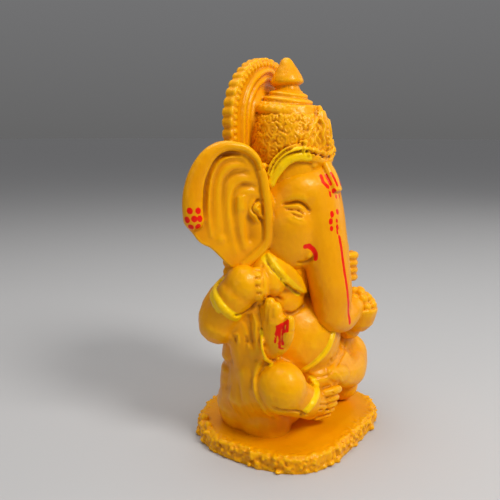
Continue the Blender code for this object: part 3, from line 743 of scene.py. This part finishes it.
ear = {
    "root": (20.5, -5.0, 86.5), "sweep": 44.0, "middle": (13.0, 3.0),
    "outline": ((1, 12), (2.6, 16.2), (4.1, 20.1), (7.4, 23.3), (11.4, 24.7), (16.8, 25.1),
                (21.5, 23.4), (25.8, 18.5), (29.1, 12.2), (31, 5.9), (31.4, 1), (31, -4.1),
                (28.2, -7.6), (25.4, -11.2), (21.1, -13.8), (17.8, -17), (14.4, -20.6), (9.7, -21.6),
                (5, -18), (-1, -12), (-3, 0)),
    "layers": ((0.80, -4.6), (0.94, -4.2), (1.0, -2.8), (1.0, -0.4), (0.93, -1.4), (0.84, -2.8),
               (0.65, -3.2), (0.35, -2.6)),
    "rim": ((3.2, 15.6, 1.0), (4.6, 18.8, 1.3), (7.9, 21.9, 1.6), (12, 23.1, 1.9), (16.6, 23, 2.2),
            (20.9, 20.8, 2.8), (24.4, 16.4, 3.3), (26.7, 11.0, 3.6), (27.8, 5.5, 3.8), (27.9, 0.2, 3.9),
            (27.4, -3.6, 3.7)),
    "ridges": (((6.4, 15.2), (9.2, 18.6), (13.6, 19.6), (18.2, 17.9), (20.9, 13), (21.9, 6.1),
                (22.2, -1.1), (21.3, -9.0)),
               ((5.5, 12.0), (8.0, 14.9), (11.8, 16.4), (15.6, 14.8), (18.2, 9.6), (18.9, 2.5),
                (18.2, -5.9), (16.5, -13)),
               ((4.4, 8.6), (7.0, 10.8), (10.5, 11.5), (13.3, 9.6), (14.6, 5.0), (14.8, -1.3),
                (13.8, -9.0), (12.0, -16)),
               ((3.6, 5.0), (6.0, 6.6), (8.6, 6.0), (10.2, 3.2), (10.6, -1.2), (10.2, -7),
                (8.6, -14))),
    "ridgeWidths": (1.2, 2.5, 2.4, 2.9), "ridgeLifts": (-1.7, -2.4, -2.0, -1.7),
    "grooves": (((10, 20.4), (15, 20.8), (19.6, 18.8), (22.8, 13.6), (24, 7), (24.2, 0), (23.2, -6)),
                ((8.5, 17.6), (13, 18.2), (17.2, 16.3), (19.7, 11.2), (20.5, 4.2), (20.3, -3.5),
                 (19.4, -10)),
                ((6.4, 13.2), (10.2, 14.3), (13.6, 13.6), (16.4, 10.4), (16.9, 4), (16.6, -4), (15, -13)),
                ((4.4, 8.4), (7.4, 9.3), (10.4, 8.8), (12.7, 6), (12.9, 0), (12.2, -7), (10.4, -15))),
    "grooveDepths": (1.5, 0.7, 1.0, 1.0),
    "strip": ((2.9, 14.5), (1.8, 11.1), (1.0, 5.7), (0.2, 0.2), (0.0, -5.4), (0.2, -11), (2.5, -14.6),
              (6.3, -18.1), (9.3, -20.4)),
}


def earPlace(side, u, v, lift=0.0):
    # u runs out along the ear, v up, `lift` out of its front face
    turn = radians(ear["sweep"])
    x, y, z = ear["root"]
    return (side * (x + u * cos(turn) + lift * sin(turn)),
            y + u * sin(turn) - lift * cos(turn), z + v)


def earFacing(side):
    turn = radians(ear["sweep"])
    return Vector((side * sin(turn), -cos(turn), 0))


def addEar(bm, side):
    facing = earFacing(side)
    outline = flowing(ear["outline"], 4, closed=True)
    middle = np.array(ear["middle"])
    addLayers(bm, [[spot(*earPlace(side, *(middle + (p - middle) * share), lift)) for p in outline]
                   for share, lift in ear["layers"]])
    addLimb(bm, [(*earPlace(side, u, v, 0.1), 0.9 + r * 0.5, r) for u, v, r in ear["rim"]],
            across=facing, sides=16)
    for ridge, width, lift in zip(ear["ridges"], ear["ridgeWidths"], ear["ridgeLifts"]):
        stations = []
        for k, (u, v) in enumerate(ridge):
            thin = 0.6 + 0.4 * sin(pi * min(k + 1, 4) / 8)
            stations.append((*earPlace(side, u, v, lift), 1.9 * thin, width * thin))
        addLimb(bm, stations, across=facing)
    addBall(bm, earPlace(side, 17.2, -10.2, -4.8), (5.2, 4.6, 4.6))


def headDetails(bm):
    for side in bothSides:
        facing = earFacing(side)
        addBall(bm, earPlace(side, 4.6, -0.4, -1.6), (3.4, 2.4, 5.0))
        addLimb(bm, [(*earPlace(side, u, v, 0.5 - 0.05 * abs(v)), 1.2, 1.7) for u, v in ear["strip"]],
                across=facing, steps=3)
        addBall(bm, (side * 12.4, -13.3, 85.8), (4.4, 2.1, 2.0), (0, -12 * side, side * 42))
        addLimb(bm, [(side * 8.5, -13, 74, 4), (side * 10, -15, 71.5, 3.4)], steps=2)
        addBall(bm, (side * 10.6, -16.0, 69.8), (2.2, 2.4, 2.2))
    addLimb(bm, [(0, -17.6, 103, 2.6, 1.8), (0, -20.4, 98.5, 3.2, 1.8), (0, -22.8, 93.0, 3.0, 1.5)],
            across=(1, 0, 0), blunt=0.3)


# Lines of the face on both sides: pixels, half-width and height in parts
faceStrokes = (
    (((280.7, 204.6), (285, 203.6), (289.5, 203.2), (298.3, 202.2), (304.5, 205), (308.3, 208.8),
      (310.5, 213)), 0.95, -1.0),
    (((283, 199), (291, 197), (300, 197), (308, 201)), 2.2, 0.25),
    (((283.5, 207), (291, 206), (298, 206.6), (304, 210)), 0.9, 0.5),
    (((284.5, 208.4), (292, 209.5), (298.3, 210.3), (302, 212.5), (305.5, 214.3)), 0.6, -0.9),
    (((290, 211.5), (297, 213.4), (302, 215)), 0.7, 0.30),
    (((291, 213), (297.5, 215.8), (303, 217)), 0.6, -0.7),
    (((292, 216), (298, 219), (304, 219.6)), 0.9, 0.35),
    (((286, 216), (293, 221), (301, 223.5), (308, 222)), 1.8, 0.22),
    (((296, 262), (304, 263), (311, 260), (316, 254)), 1.2, -0.6),
)
# The small curl at the ear's root: pixels, half-width and height in parts
earStrokes = (
    (((263.5, 200), (257, 200.5), (252.5, 204.5), (251, 209), (254, 212.5), (258, 215), (260.5, 219.5),
      (262.5, 223)), 0.9, -1.0),
    (((263, 204), (258, 205), (256, 208.5), (260, 211)), 0.9, 0.6),
    (((261, 215), (264, 219)), 0.8, 0.5),
    (((240.5, 195), (241, 203), (242, 212)), 3.2, 0.5),
)


def drawBoth(clay, strokes, taper):
    for pixels, width, height in strokes:
        for path in clay.seenBoth(pixels):
            clay.stroke(path, width, height, taper=taper)


def carveEar(clay, side):
    for path, depth in zip(ear["grooves"], ear["grooveDepths"]):
        smooth = [earPlace(side, u, v, -0.5) for u, v in flowing(path, 4)]
        clay.stroke(clay.onSkin(smooth), 1.8, -depth, steps=1, taper=0.15, fade=0.8)
    clay.stroke(clay.onSkin([earPlace(side, 6.6, -3.6, 0), earPlace(side, 6.6, -9.5, 0)]), 3.6, -0.8)


def makeHead():
    bm = bmesh.new()
    addSoft(bm, headUnder, statue["coarse"], head["smoothing"])
    for side in bothSides:
        addSoft(bm, lambda forms: addEar(forms, side), head["earCell"], head["earSmoothing"])
    headDetails(bm)
    mesh = fused(bm, "head", statue["fine"] * head["cell"], 1, statue["triangles"])
    clay = Clay(mesh)
    drawBoth(clay, faceStrokes, 0.15)
    for side in bothSides:
        carveEar(clay, side)
    clay.tree = None
    drawBoth(clay, earStrokes, 0.12)
    clay.uneven(surface["headFine"])
    clay.store()
    return mesh, clay


# Crown and halo

crown = {
    "foot": (0, -2.2, 101), "tip": 3.0,
    "drumProfile": ((0, -6), (15.0, -6), (15.3, 1), (15.5, 7), (15.1, 12), (14.0, 17), (12.7, 20.6),
                    (12.0, 23), (0, 23.2)),
    "tierTip": -7.0, "tierFoot": 22.0, "tierBack": 1.8,
    "tierProfile": ((0, -2.4), (11.7, -2.0), (12.8, -1.5), (13.4, -0.6), (13.1, 0.6), (11.5, 1.9),
                    (9.9, 2.6), (9.5, 3.0), (9.7, 4.0), (9.1, 4.6), (7.7, 4.9), (7.4, 5.3),
                    (7.5, 6.2), (6.9, 6.7), (5.6, 7.1), (5.0, 7.9), (0, 8)),
    "finialProfile": ((0, 26), (5.2, 28.8), (4.9, 29.8), (4.5, 30.6), (4.6, 31.2), (5.5, 31.6),
                      (6.2, 32.2), (6.3, 33.0), (5.7, 34.6), (4.2, 37.2), (2.8, 39.4), (1.9, 40.9),
                      (1.0, 41.6), (0, 41.8)),
    "drum": ((1, 15.3), (7, 15.5), (12, 15.1), (17, 14.0), (20.6, 12.7), (23, 12.4)), "girth": 15.4,
    "panels": 20, "line": 0.95, "height": 0.85, "cell": 0.92,
    "rows": ((2.4, 1.8), (6.6, 1.9), (10.8, 1.8), (14.6, 1.6), (18.0, 1.2)),
}


def crownPlace(turn, rise, lift=0.0):
    # `turn` in degrees from the front towards the statue's right, `rise` over the foot
    heights, radii = zip(*crown["drum"])
    reach = np.interp(rise, heights, radii) + lift
    angle = radians(-90 - turn)
    lean = radians(crown["tip"])
    x, y, z = crown["foot"]
    return (x + reach * cos(angle), y + reach * sin(angle) + rise * sin(lean),
            z + rise * cos(lean))


def onDrum(turn, flat, lift=0.3):
    # A flat pattern wrapped on the drum: (across, up) in parts
    return [crownPlace(turn + degrees(s / crown["girth"]), t, lift) for s, t in flat]


def curl(centre, radius, turns, start, hand):
    # A flat spiral that winds inwards
    count = round(turns * 9)
    points = []
    for k in range(count + 1):
        reach = radius * (1 - 0.85 * k / count)
        angle = start + tau * k / 9
        points.append((centre[0] + hand * reach * cos(angle), centre[1] + reach * sin(angle)))
    return points


def drumLines():
    # Rows of leafy scrolls all the way round, every other row turned the other way
    lines = []
    for row, (rise, size) in enumerate(crown["rows"]):
        count = crown["panels"]
        for k in range(count):
            turn = 360 * (k + 0.5 * (row % 2)) / count
            ahead = cos(radians(turn))
            if ahead < -0.75 or row == 0 and ahead > 0.3:
                continue
            hand = 1 if (k + row) % 2 else -1
            step = pi * crown["girth"] / count
            wide = step / size
            leaves = (((wide * 0.4, -1.3), (wide * 0.9, -0.2), (wide * 0.7, 1.2)),
                      ((1, -1), (0, -1.5), (-1.2, -0.9)), ((-1.3, 0.3), (-1.5, 1.2)),
                      ((0.5, 1.05), (-0.3, 1.6)))
            flat = [curl((hand * 0.4, rise), size, 1.35, 0.4, hand)]
            flat += [[(hand * size * s, rise + size * t) for s, t in leaf] for leaf in leaves]
            lines += [(onDrum(turn, path, 0.1), crown["line"], crown["height"]) for path in flat]
    for hand in bothSides:
        for path in ([(0, 3.6), (0, 7.2)], [(0, 7), (1.2, 9), (3.4, 10.4)],
                     [(0, 7), (-0.6, 10), (-2.4, 12)]):
            lines.append((onDrum(hand * 90, path, 0.2), crown["line"] * 1.2, crown["height"] * 1.15))
    return lines


# The pointed front of the crown, its half-widths in parts round the drum
palmette = {
    "rises": (0, 3, 8, 12, 16, 19, 21), "halfWidths": (11.6, 12.4, 12.2, 10.8, 7.4, 4.2, 2.6),
    "from": 0.5, "to": 21.5, "near": 2.5, "edge": 0.8,
    "fadeFrom": 6.0, "fade": 2.5, "lift": 0.7, "beads": 8,
    "tip": ((0, -16.1, 110, 4.2, 1.3), (0, -16.2, 114.5, 3.8, 1.5), (0, -15.5, 118.8, 3.0, 1.5),
            (0, -14.8, 121.8, 1.9, 1.4), (0, -14.4, 123.8, 0.8, 1.0)),
    "ribRises": (7.4, 10.5, 13, 16, 18.5, 20.5),
    "leaves": (((9.8, 5.4), (9.4, 7.6), (8.2, 9.4), (8.0, 11.4)),
               ((5.0, 4.8), (6.8, 6.6), (5.4, 8.6), (7.0, 10.4), (6.0, 12.8)),
               ((8.0, 5.2), (8.4, 6.8), (7.4, 8.4)),
               ((4.4, 10.4), (5.6, 12.6), (4.2, 14.8), (4.4, 16.6)), ((6.4, 13.4), (5.6, 15.2)),
               ((2.4, 5.0), (3.4, 7.4), (2.2, 9.8), (3.2, 12.4), (2.0, 15.2), (2.2, 18.0))),
}


def palmetteWidth(rise):
    return np.interp(rise, palmette["rises"], palmette["halfWidths"])


def addPalmette(bm):
    # The tip of the tall leaf over the brow, and a row of small beads up its middle
    addLimb(bm, palmette["tip"], across=(1, 0, 0), sides=16)
    for k in range(palmette["beads"]):
        rise = 6.0 + 1.9 * k
        addBall(bm, crownPlace(0, rise, 0.9 + 0.11 * k), (0.85, 0.85, 0.9), cuts=1)


# The headband's ropes: pixels in the photograph, distance from the crown's axis, half-widths
ropes = (
    (((270.5, 184), (274, 177), (279, 169.5), (285, 163), (292, 158.5), (300, 156.5), (310, 157.5),
      (320, 160), (329, 163)), (18.4, 16.8, 14.7), (1.8, 1.2)),
    (((269.5, 175), (273.5, 167.5), (279, 160.5), (285.5, 155), (292.5, 151), (300, 149), (309, 149.5),
      (318, 152), (327, 155)), (18.8, 17.2, 15.5), (0.75, 0.8)),
    (((267.5, 174), (270.5, 165.5), (275.5, 158), (282, 152), (289, 147.8), (296, 145.5)),
     (18.6, 17.4, 16.2), (0.65, 0.7)),
)
ropeGilt = {"outside": 0.5, "share": 0.7, "wider": 0.3}
ropeGrooves = (((271, 176), (275, 167.5), (280.5, 160.5), (287.5, 155.5), (296, 152.3), (304, 151),
                (312, 152.6), (320, 155.4), (328, 158.6)),
               ((268, 175), (272, 165.5), (277.5, 157.5), (284.5, 151.5), (293, 148)),
               ((265.5, 174), (269, 164), (274.5, 156), (281, 149.5), (289, 145)))


def ropePath(pixels, reaches):
    shares = np.linspace(0, 1, len(pixels))
    return [onColumn(u, v, np.interp(share, (0, 0.5, 1), reaches))
            for (u, v), share in zip(pixels, shares)]


def addHeadband(bm):
    # Ropes from the temples up over the brow, and a ball where they begin
    for pixels, reaches, girths in ropes:
        right = ropePath(pixels, reaches)
        for side in bothSides:
            addLimb(bm, [(*p, *girths) for p in mirrored(right, -side)])
    x, y, z = ropePath(*ropes[0][:2])[-1]
    addLimb(bm, [(*p, *ropes[0][2]) for p in ((-x, y, z), (0, y - 0.3, z - 0.2), (x, y, z))], steps=3)
    for side in bothSides:
        addBall(bm, (side * 19.4, -2.0, 102.4), (1.5, 1.5, 1.5), cuts=2)
        for turn, rise in ((43.3, 9.4), (40.9, 6.9)):
            ring = ringPath(crownPlace(-side * turn, rise, 1.0),
                            (sin(radians(side * turn)), -cos(radians(turn)), 0),
                            (1.0, 1.25), 10)
            addLimb(bm, [(*p, 0.5) for p in ring], steps=1, sides=6, closed=True)


def addTopTiers(bm):
    # Knobs that stand round the tier above the drum
    lean = radians(crown["tierTip"])
    x, y, z = crown["foot"]
    for ring, (reach, rise, size, count) in enumerate(((12.2, 0.8, 1.1, 30), (10.7, 2.1, 0.9, 28))):
        for k in range(count):
            angle = tau * (k + 0.5 * ring) / count
            deep = reach * sin(angle)
            addBall(bm, (x + reach * cos(angle), y + crown["tierBack"] + deep * cos(lean),
                         z + crown["tierFoot"] + rise - deep * sin(lean)),
                    (size, size, size * 0.8), cuts=1)


halo = {
    "middle": 118.0, "radius": 25.6, "y": 10.5, "thick": 4.5, "foot": 58.0,
    "ribs": 50, "beads": 74, "arch": 5.2, "archDrop": 2.8,
}


def haloEdge(share, inset=0.0):
    # Along the halo's outline from its right foot over the top to its left foot
    run = halo["middle"] - halo["foot"]
    arc = pi * halo["radius"]
    along = share * (run * 2 + arc)
    reach = halo["radius"] - inset
    if along < run:
        return (-reach, halo["foot"] + along), (-1.0, 0.0)
    if along > run + arc:
        return (reach, halo["foot"] + run * 2 + arc - along), (1.0, 0.0)
    angle = pi - (along - run) / halo["radius"]
    return ((cos(angle) * reach, halo["middle"] + sin(angle) * reach),
            (cos(angle), sin(angle)))


def addHalo(bm):
    front = halo["y"] - halo["thick"] / 2
    back = halo["y"] + halo["thick"] / 2
    rings = []
    for y, inset in ((back + 1.1, 12.0), (back + 0.9, 9.0), (back, 2.2), (back - 0.9, 1.0),
                     (front + 0.7, 0.8), (front, 1.6), (front, 5.0), (front + 0.6, 8.4),
                     (front + 0.2, 10.8), (front - 1.6, 13.5)):
        places = [haloEdge(k / 90, inset)[0] for k in range(91)]
        rings.append([spot(x, y, z) for x, z in places])
    addLayers(bm, rings)
    for k in range(halo["ribs"] + 1):
        (x, z), out = haloEdge(k / halo["ribs"], 1.45)
        addLimb(bm, [(x, front + 0.4, z, 1.05, 1.75), (x, back - 0.4, z, 1.05, 1.75)],
                across=(out[0], 0, out[1]), steps=1, sides=10, blunt=0.5)
    for k in range(halo["beads"] + 1):
        (x, z), out = haloEdge(k / halo["beads"], 2.9)
        addBall(bm, (x, front - 0.05, z), (1.15, 0.8, 1.15), cuts=1)
    for extra, girth in ((0.0, 1.25), (3.1, 1.0)):
        path = []
        for k in range(73):
            side = abs(haloEdge(k / 72)[1][0])
            (x, z), out = haloEdge(k / 72, halo["arch"] + halo["archDrop"] * side + extra)
            path.append((x, front + 0.15, z, girth))
        addLimb(bm, path, across=(0, 1, 0), steps=1, sides=10)


def makeCrown():
    bm = bmesh.new()
    addTurned(bm, crown["drumProfile"], crown["foot"], crown["tip"], 56)
    x, y, z = crown["foot"]
    addTurned(bm, crown["tierProfile"], (x, y + crown["tierBack"], z + crown["tierFoot"]),
              crown["tierTip"], 56)
    addTurned(bm, crown["finialProfile"], crown["foot"], crown["tip"])
    addPalmette(bm)
    addHeadband(bm)
    addTopTiers(bm)
    addHalo(bm)
    mesh = fused(bm, "crown", statue["fine"] * crown["cell"], 1, statue["triangles"])
    clay = Clay(mesh)
    liftPalmette(clay)
    clay.relief(drumLines() + palmetteLines(clay))
    clay.tree = None
    for pixels in ropeGrooves:
        for path in clay.seenBoth(flowing(pixels, 3)):
            clay.stroke(path, 0.75, -0.75, steps=1, taper=0.1)
    clay.uneven(surface["fine"])
    clay.store()
    return mesh, clay


def crownTurns(clay):
    # For each point its turn from the front, its rise and its distance from the axis
    x, y, z = crown["foot"]
    rise = clay.points[:, 2] - z
    lean = np.outer(rise, (0, sin(radians(crown["tip"]))))
    away = clay.points[:, :2] - np.array([x, y]) - lean
    return np.arctan2(-away[:, 0], -away[:, 1]), rise, np.hypot(*away.T)


def liftPalmette(clay):
    # The crown's front stands out as a broad pointed shield
    turn, rise, reach = crownTurns(clay)
    heights, radii = zip(*crown["drum"])
    near = abs(reach - np.interp(rise, heights, radii)) < palmette["near"]
    near = near & (rise > palmette["from"]) & (rise < palmette["to"])
    inside = palmetteWidth(rise) - abs(turn) * crown["girth"]
    weight = np.clip(inside / palmette["edge"], 0, 1) * near
    weight = weight * np.clip((rise - palmette["fadeFrom"]) / palmette["fade"], 0, 1)
    out = np.stack([-np.sin(turn), -np.cos(turn), np.zeros(len(turn))], axis=1)
    clay.points += out * (weight * palmette["lift"])[:, None]


def palmetteLines(clay):
    lines = []
    for hand in bothSides:
        rib = [(hand * (palmetteWidth(t) - 0.7), t) for t in palmette["ribRises"]]
        lines.append((clay.onSkin(onDrum(0, rib, 1.6)), 1.15, 0.85))
        for leaf in palmette["leaves"]:
            path = onDrum(0, [(hand * s, t) for s, t in leaf], 1.6)
            lines.append((clay.onSkin(path), 1.0, 0.8))
    return lines


# Golden paint

class Sock:
    # A shader socket that takes part in sums
    def __init__(self, paint, socket):
        self.paint = paint
        self.socket = socket

    def maths(self, operation, other, swapped=False):
        values = [other, self] if swapped else [self, other]
        return self.paint.node("Math", {"operation": operation}, {0: values[0], 1: values[1]})

    def __add__(self, other):
        return self.maths("ADD", other)

    def __radd__(self, other):
        return self.maths("ADD", other, True)

    def __sub__(self, other):
        return self.maths("SUBTRACT", other)

    def __rsub__(self, other):
        return self.maths("SUBTRACT", other, True)

    def __mul__(self, other):
        return self.maths("MULTIPLY", other)

    def __rmul__(self, other):
        return self.maths("MULTIPLY", other, True)


class Paint:
    # The nodes of a material or of the world, built up call by call
    def __init__(self, owner, shader="Principled BSDF"):
        owner.use_nodes = True
        self.tree = owner.node_tree
        self.shader = self.tree.nodes[shader]

    def node(self, kind, settings=None, values=None, out=0):
        made = self.tree.nodes.new("ShaderNode" + kind)
        for name, value in (settings or {}).items():
            setattr(made, name, value)
        for name, value in (values or {}).items():
            self.feed(made.inputs[name], value)
        return Sock(self, made.outputs[out])

    def feed(self, target, value):
        if isinstance(value, Sock):
            self.tree.links.new(value.socket, target)
        else:
            target.default_value = value

    def set(self, name, value):
        self.feed(self.shader.inputs[name], value)

    def attribute(self, name):
        return self.node("Attribute", {"attribute_name": name}, out="Fac")

    def noise(self, place, scale, detail, roughness):
        return self.node("TexNoise", {"noise_dimensions": "3D"},
                         {"Vector": place, "Scale": scale, "Detail": detail, "Roughness": roughness},
                         out="Fac")

    def above(self, value, low, high):
        # 0 below low, 1 above high, straight between
        return self.node("MapRange", {"clamp": True}, {"Value": value, "From Min": low, "From Max": high})

    def mix(self, share, first, second):
        return self.node("Mix", {"data_type": "RGBA"}, {0: share, 6: first, 7: second}, out=2)


finish = {
    "gold": (0.92, 0.39, 0.0, 1), "goldDeep": (0.82, 0.30, 0.0, 1),
    # "hollow" is a dark brown laid into creases and recesses as painted shade
    "gilt": (0.98, 0.66, 0.0, 1), "hollow": (0.36, 0.10, 0.0, 1),
    "red": (0.85, 0.004, 0.002, 1), "bright": (0.95, 0.50, 0.0, 1),
    "shine": (1.0, 0.80, 0.34, 1),
    "roughness": (0.27, 0.45), "coat": 0.12, "coatRoughness": 0.18, "specular": 0.28,
    "blotches": 45.0, "grains": 900.0, "bump": 0.35, "bumpHeight": 0.00022,
    "giltEdge": 0.12, "giltFray": 0.5, "giltCover": 0.85, "redEdge": 0.10, "redFray": 0.35,
    "raisedFrom": -0.02, "raisedTo": -0.14, "raisedCover": 0.5,
    "hollowFrom": 0.03, "hollowTo": 0.30, "paintedShadeCover": 0.85,
}


def goldenPaint():
    material = bpy.data.materials.new("golden paint")
    paint = Paint(material)
    place = paint.node("TexCoord", out="Object")
    broad = paint.noise(place, finish["blotches"], 4.0, 0.6)
    fine = paint.noise(place, finish["grains"], 5.0, 0.65)
    hollow = paint.attribute("hollow")
    colour = paint.mix(paint.above(broad, 0.34, 0.68), finish["goldDeep"], finish["gold"])
    gilded = paint.attribute("gilt") + (fine - 0.5) * finish["giltFray"]
    gilded = paint.above(gilded, finish["giltEdge"], -finish["giltEdge"])
    colour = paint.mix(gilded * finish["giltCover"], colour, finish["gilt"])
    raised = paint.above(hollow, finish["raisedFrom"], finish["raisedTo"])
    colour = paint.mix(raised * finish["raisedCover"], colour, finish["bright"])
    # Painted shade: points lying below their neighbours turn towards dark brown
    paintedShade = paint.above(hollow, finish["hollowFrom"], finish["hollowTo"])
    colour = paint.mix(paintedShade * finish["paintedShadeCover"], colour, finish["hollow"])
    redness = paint.attribute("red") + (fine - 0.5) * finish["redFray"]
    redness = paint.above(redness, finish["redEdge"], -finish["redEdge"])
    colour = paint.mix(redness, colour, finish["red"])
    paint.set("Base Color", colour)
    low, high = finish["roughness"]
    paint.set("Roughness", paint.above(fine * 0.6 + broad * 0.4, 0.3, 0.7) * (high - low) + low)
    paint.set("Coat Weight", finish["coat"])
    paint.set("Coat Roughness", finish["coatRoughness"])
    paint.set("Specular IOR Level", finish["specular"])
    paint.set("Specular Tint", finish["shine"])
    paint.set("Coat Tint", finish["shine"])
    paint.set("Normal", paint.node("Bump", None, {"Strength": finish["bump"], "Height": fine,
                                                  "Distance": finish["bumpHeight"]}))
    return material


# Marks in red paint, by their places in the photograph (pixels) and half-widths (parts)

redPixels = {
    "brow": ((((321, 176), (323, 182), (328, 187)), 0.75), (((326, 175.5), (330.5, 184)), 0.7),
             (((334, 190.5), (334.2, 191.5)), 0.9), (((330, 192.5), (330.5, 196)), 0.55),
             (((336, 196), (336, 198)), 0.6), (((331, 173), (337.5, 185)), 0.55)),
    "flower": ((((332, 213.4), (332, 215)), 0.95), (((330.8, 221), (330.8, 222.2)), 0.95),
               (((331.6, 228.2), (331.7, 229)), 0.85)),
    "flowerMiddle": ((((337.2, 211.2), (337.4, 212.4)), 0.9), (((336.8, 220.4), (336.9, 221)), 0.7),
                     (((337.4, 226.6), (337.6, 227.8)), 0.8), (((337.6, 232.4), (337.8, 233)), 0.55)),
    "trunkLine": ((((339.5, 237), (342, 252), (345, 275), (348, 300), (349.6, 323)), 0.72),),
    "tusk": ((((305, 246.5), (309, 246), (313, 249), (315.5, 253.5), (315.5, 258.5)), 0.95),),
    "ear": tuple((((u, v), (u + 0.3, v + 0.8)), 1.08) for u, v in
                 ((189.6, 210.6), (198, 210.4), (186.8, 219.6), (194.2, 218.6), (199.8, 218.4),
                  (190.6, 227), (198, 226.6))),
    "palm": ((((277, 327.5), (282, 325), (287, 321)), 0.75), (((276, 331), (275, 342)), 0.5),
             (((279.5, 329), (279.5, 346)), 0.6), (((283.6, 327), (283, 344)), 0.6),
             (((287.6, 321), (287, 331)), 0.6), (((276, 334.5), (286, 331)), 0.55),
             (((278.5, 347.5), (282.5, 348.5)), 0.5)),
}


def redPaths(clay, names, both):
    paths = []
    for name in names:
        for pixels, width in redPixels[name]:
            for path in clay.seenBoth(pixels)[:2 if both else 1]:
                if path:
                    paths.append((path, width))
    return paths


# Putting the pieces together

def finished(name, mesh, clay, red=(), gilt=()):
    points = clay.points
    store(mesh, "red", distanceTo(points, red))
    store(mesh, "gilt", distanceTo(points, gilt))
    # How deep each point lies below its neighbours, for the painted shade in creases
    store(mesh, "hollow", hollows(mesh, points, clay.normals))
    mesh.name = name
    mesh.materials.clear()
    mesh.materials.append(golden)
    mesh.shade_smooth()
    obj = linked(name, mesh)
    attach(obj, "root")
    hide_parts(statue["node"])
    print(name, len(mesh.polygons), "faces")


golden = goldenPaint()

mesh, clay = makePlinth()
finished("plinth", mesh, clay)

mesh, clay, found = makeBody()
giltBody = []
for band in bands.values():
    ring = ringPath(band["centre"], band["axis"], [r + 1 for r in band["radii"]])
    ring = [p for p in ring + ring[:1] if p[1] > band["centre"][1] - band["shown"]]
    giltBody.append((ring, band["gilt"]))
for name, width in giltWidths.items():
    giltBody.append((flowing(found[name], 4), width))
giltBody.append((flowing(mirrored(found["collarStrip"]), 4), giltWidths["collarStrip"]))
finished("body", mesh, clay, redPaths(clay, ["palm"], False), giltBody)

mesh, clay = makeHead()
finished("head", mesh, clay,
         redPaths(clay, ["brow", "flower", "tusk", "ear"], True)
         + redPaths(clay, ["flowerMiddle", "trunkLine"], False))

mesh, clay = makeCrown()
giltCrown = []
for pixels, reaches, girths in ropes:
    right = flowing(ropePath(pixels, [reach + ropeGilt["outside"] for reach in reaches]), 3)
    right = right[:round(len(right) * ropeGilt["share"])]
    giltCrown += [(path, girths[0] + ropeGilt["wider"]) for path in (right, mirrored(right))]
finished("crown", mesh, clay, (), giltCrown)


# Floor, light and camera

stage = {
    "floor": (0.50, 0.49, 0.48, 1), "floorSize": 40.0, "floorRoughness": 0.7,
    "key": ((-0.09, -0.55, 0.60), 0.28, 4.4), "fill": ((-0.80, 0.15, 0.35), 0.6, 0.6),
    "top": ((0.0, 0.1, 0.75), 0.5, 2.3), "far": ((0.7, -0.45, 0.35), 0.6, 1.0),
    "horizon": (0.132, 0.131, 0.131, 1), "zenith": (0.29, 0.295, 0.31, 1),
    "aim": (0, 0, 0.075),
}


def makeStage():
    bm = bmesh.new()
    bmesh.ops.create_grid(bm, x_segments=1, y_segments=1, size=stage["floorSize"] / 2)
    floor = objectFrom(bm, "floor")
    material = bpy.data.materials.new("pale floor")
    paint = Paint(material)
    paint.set("Base Color", stage["floor"])
    paint.set("Roughness", stage["floorRoughness"])
    floor.data.materials.append(material)
    for name in ("key", "fill", "top", "far"):
        place, size, power = stage[name]
        light = bpy.data.lights.new(name, "AREA")
        light.shape = "DISK"
        light.size = size
        light.energy = power
        lamp = linked(name, light)
        lamp.location = place
        aim = Vector(stage["aim"]) - Vector(place)
        lamp.rotation_euler = aim.to_track_quat("-Z", "Y").to_euler()
    world = bpy.data.worlds.new("studio")
    paint = Paint(world, "Background")
    height = paint.node("SeparateXYZ", None, {"Vector": paint.node("TexCoord", out="Generated")}, out="Z")
    paint.set("Color", paint.mix(paint.above(height, 0.0, 0.9), stage["horizon"], stage["zenith"]))
    bpy.context.scene.world = world
    bpy.context.scene.view_settings.view_transform = "Standard"


def makeCamera():
    lens = bpy.data.cameras.new("camera")
    lens.sensor_width = view["sensor"]
    lens.lens = view["lens"]
    lens.clip_start = 0.01
    camera = linked("camera", lens)
    camera.location = view["place"]
    camera.rotation_euler = viewDirection().to_track_quat("-Z", "Y").to_euler()
    bpy.context.scene.camera = camera


makeStage()
makeCamera()
print("pieces in place")
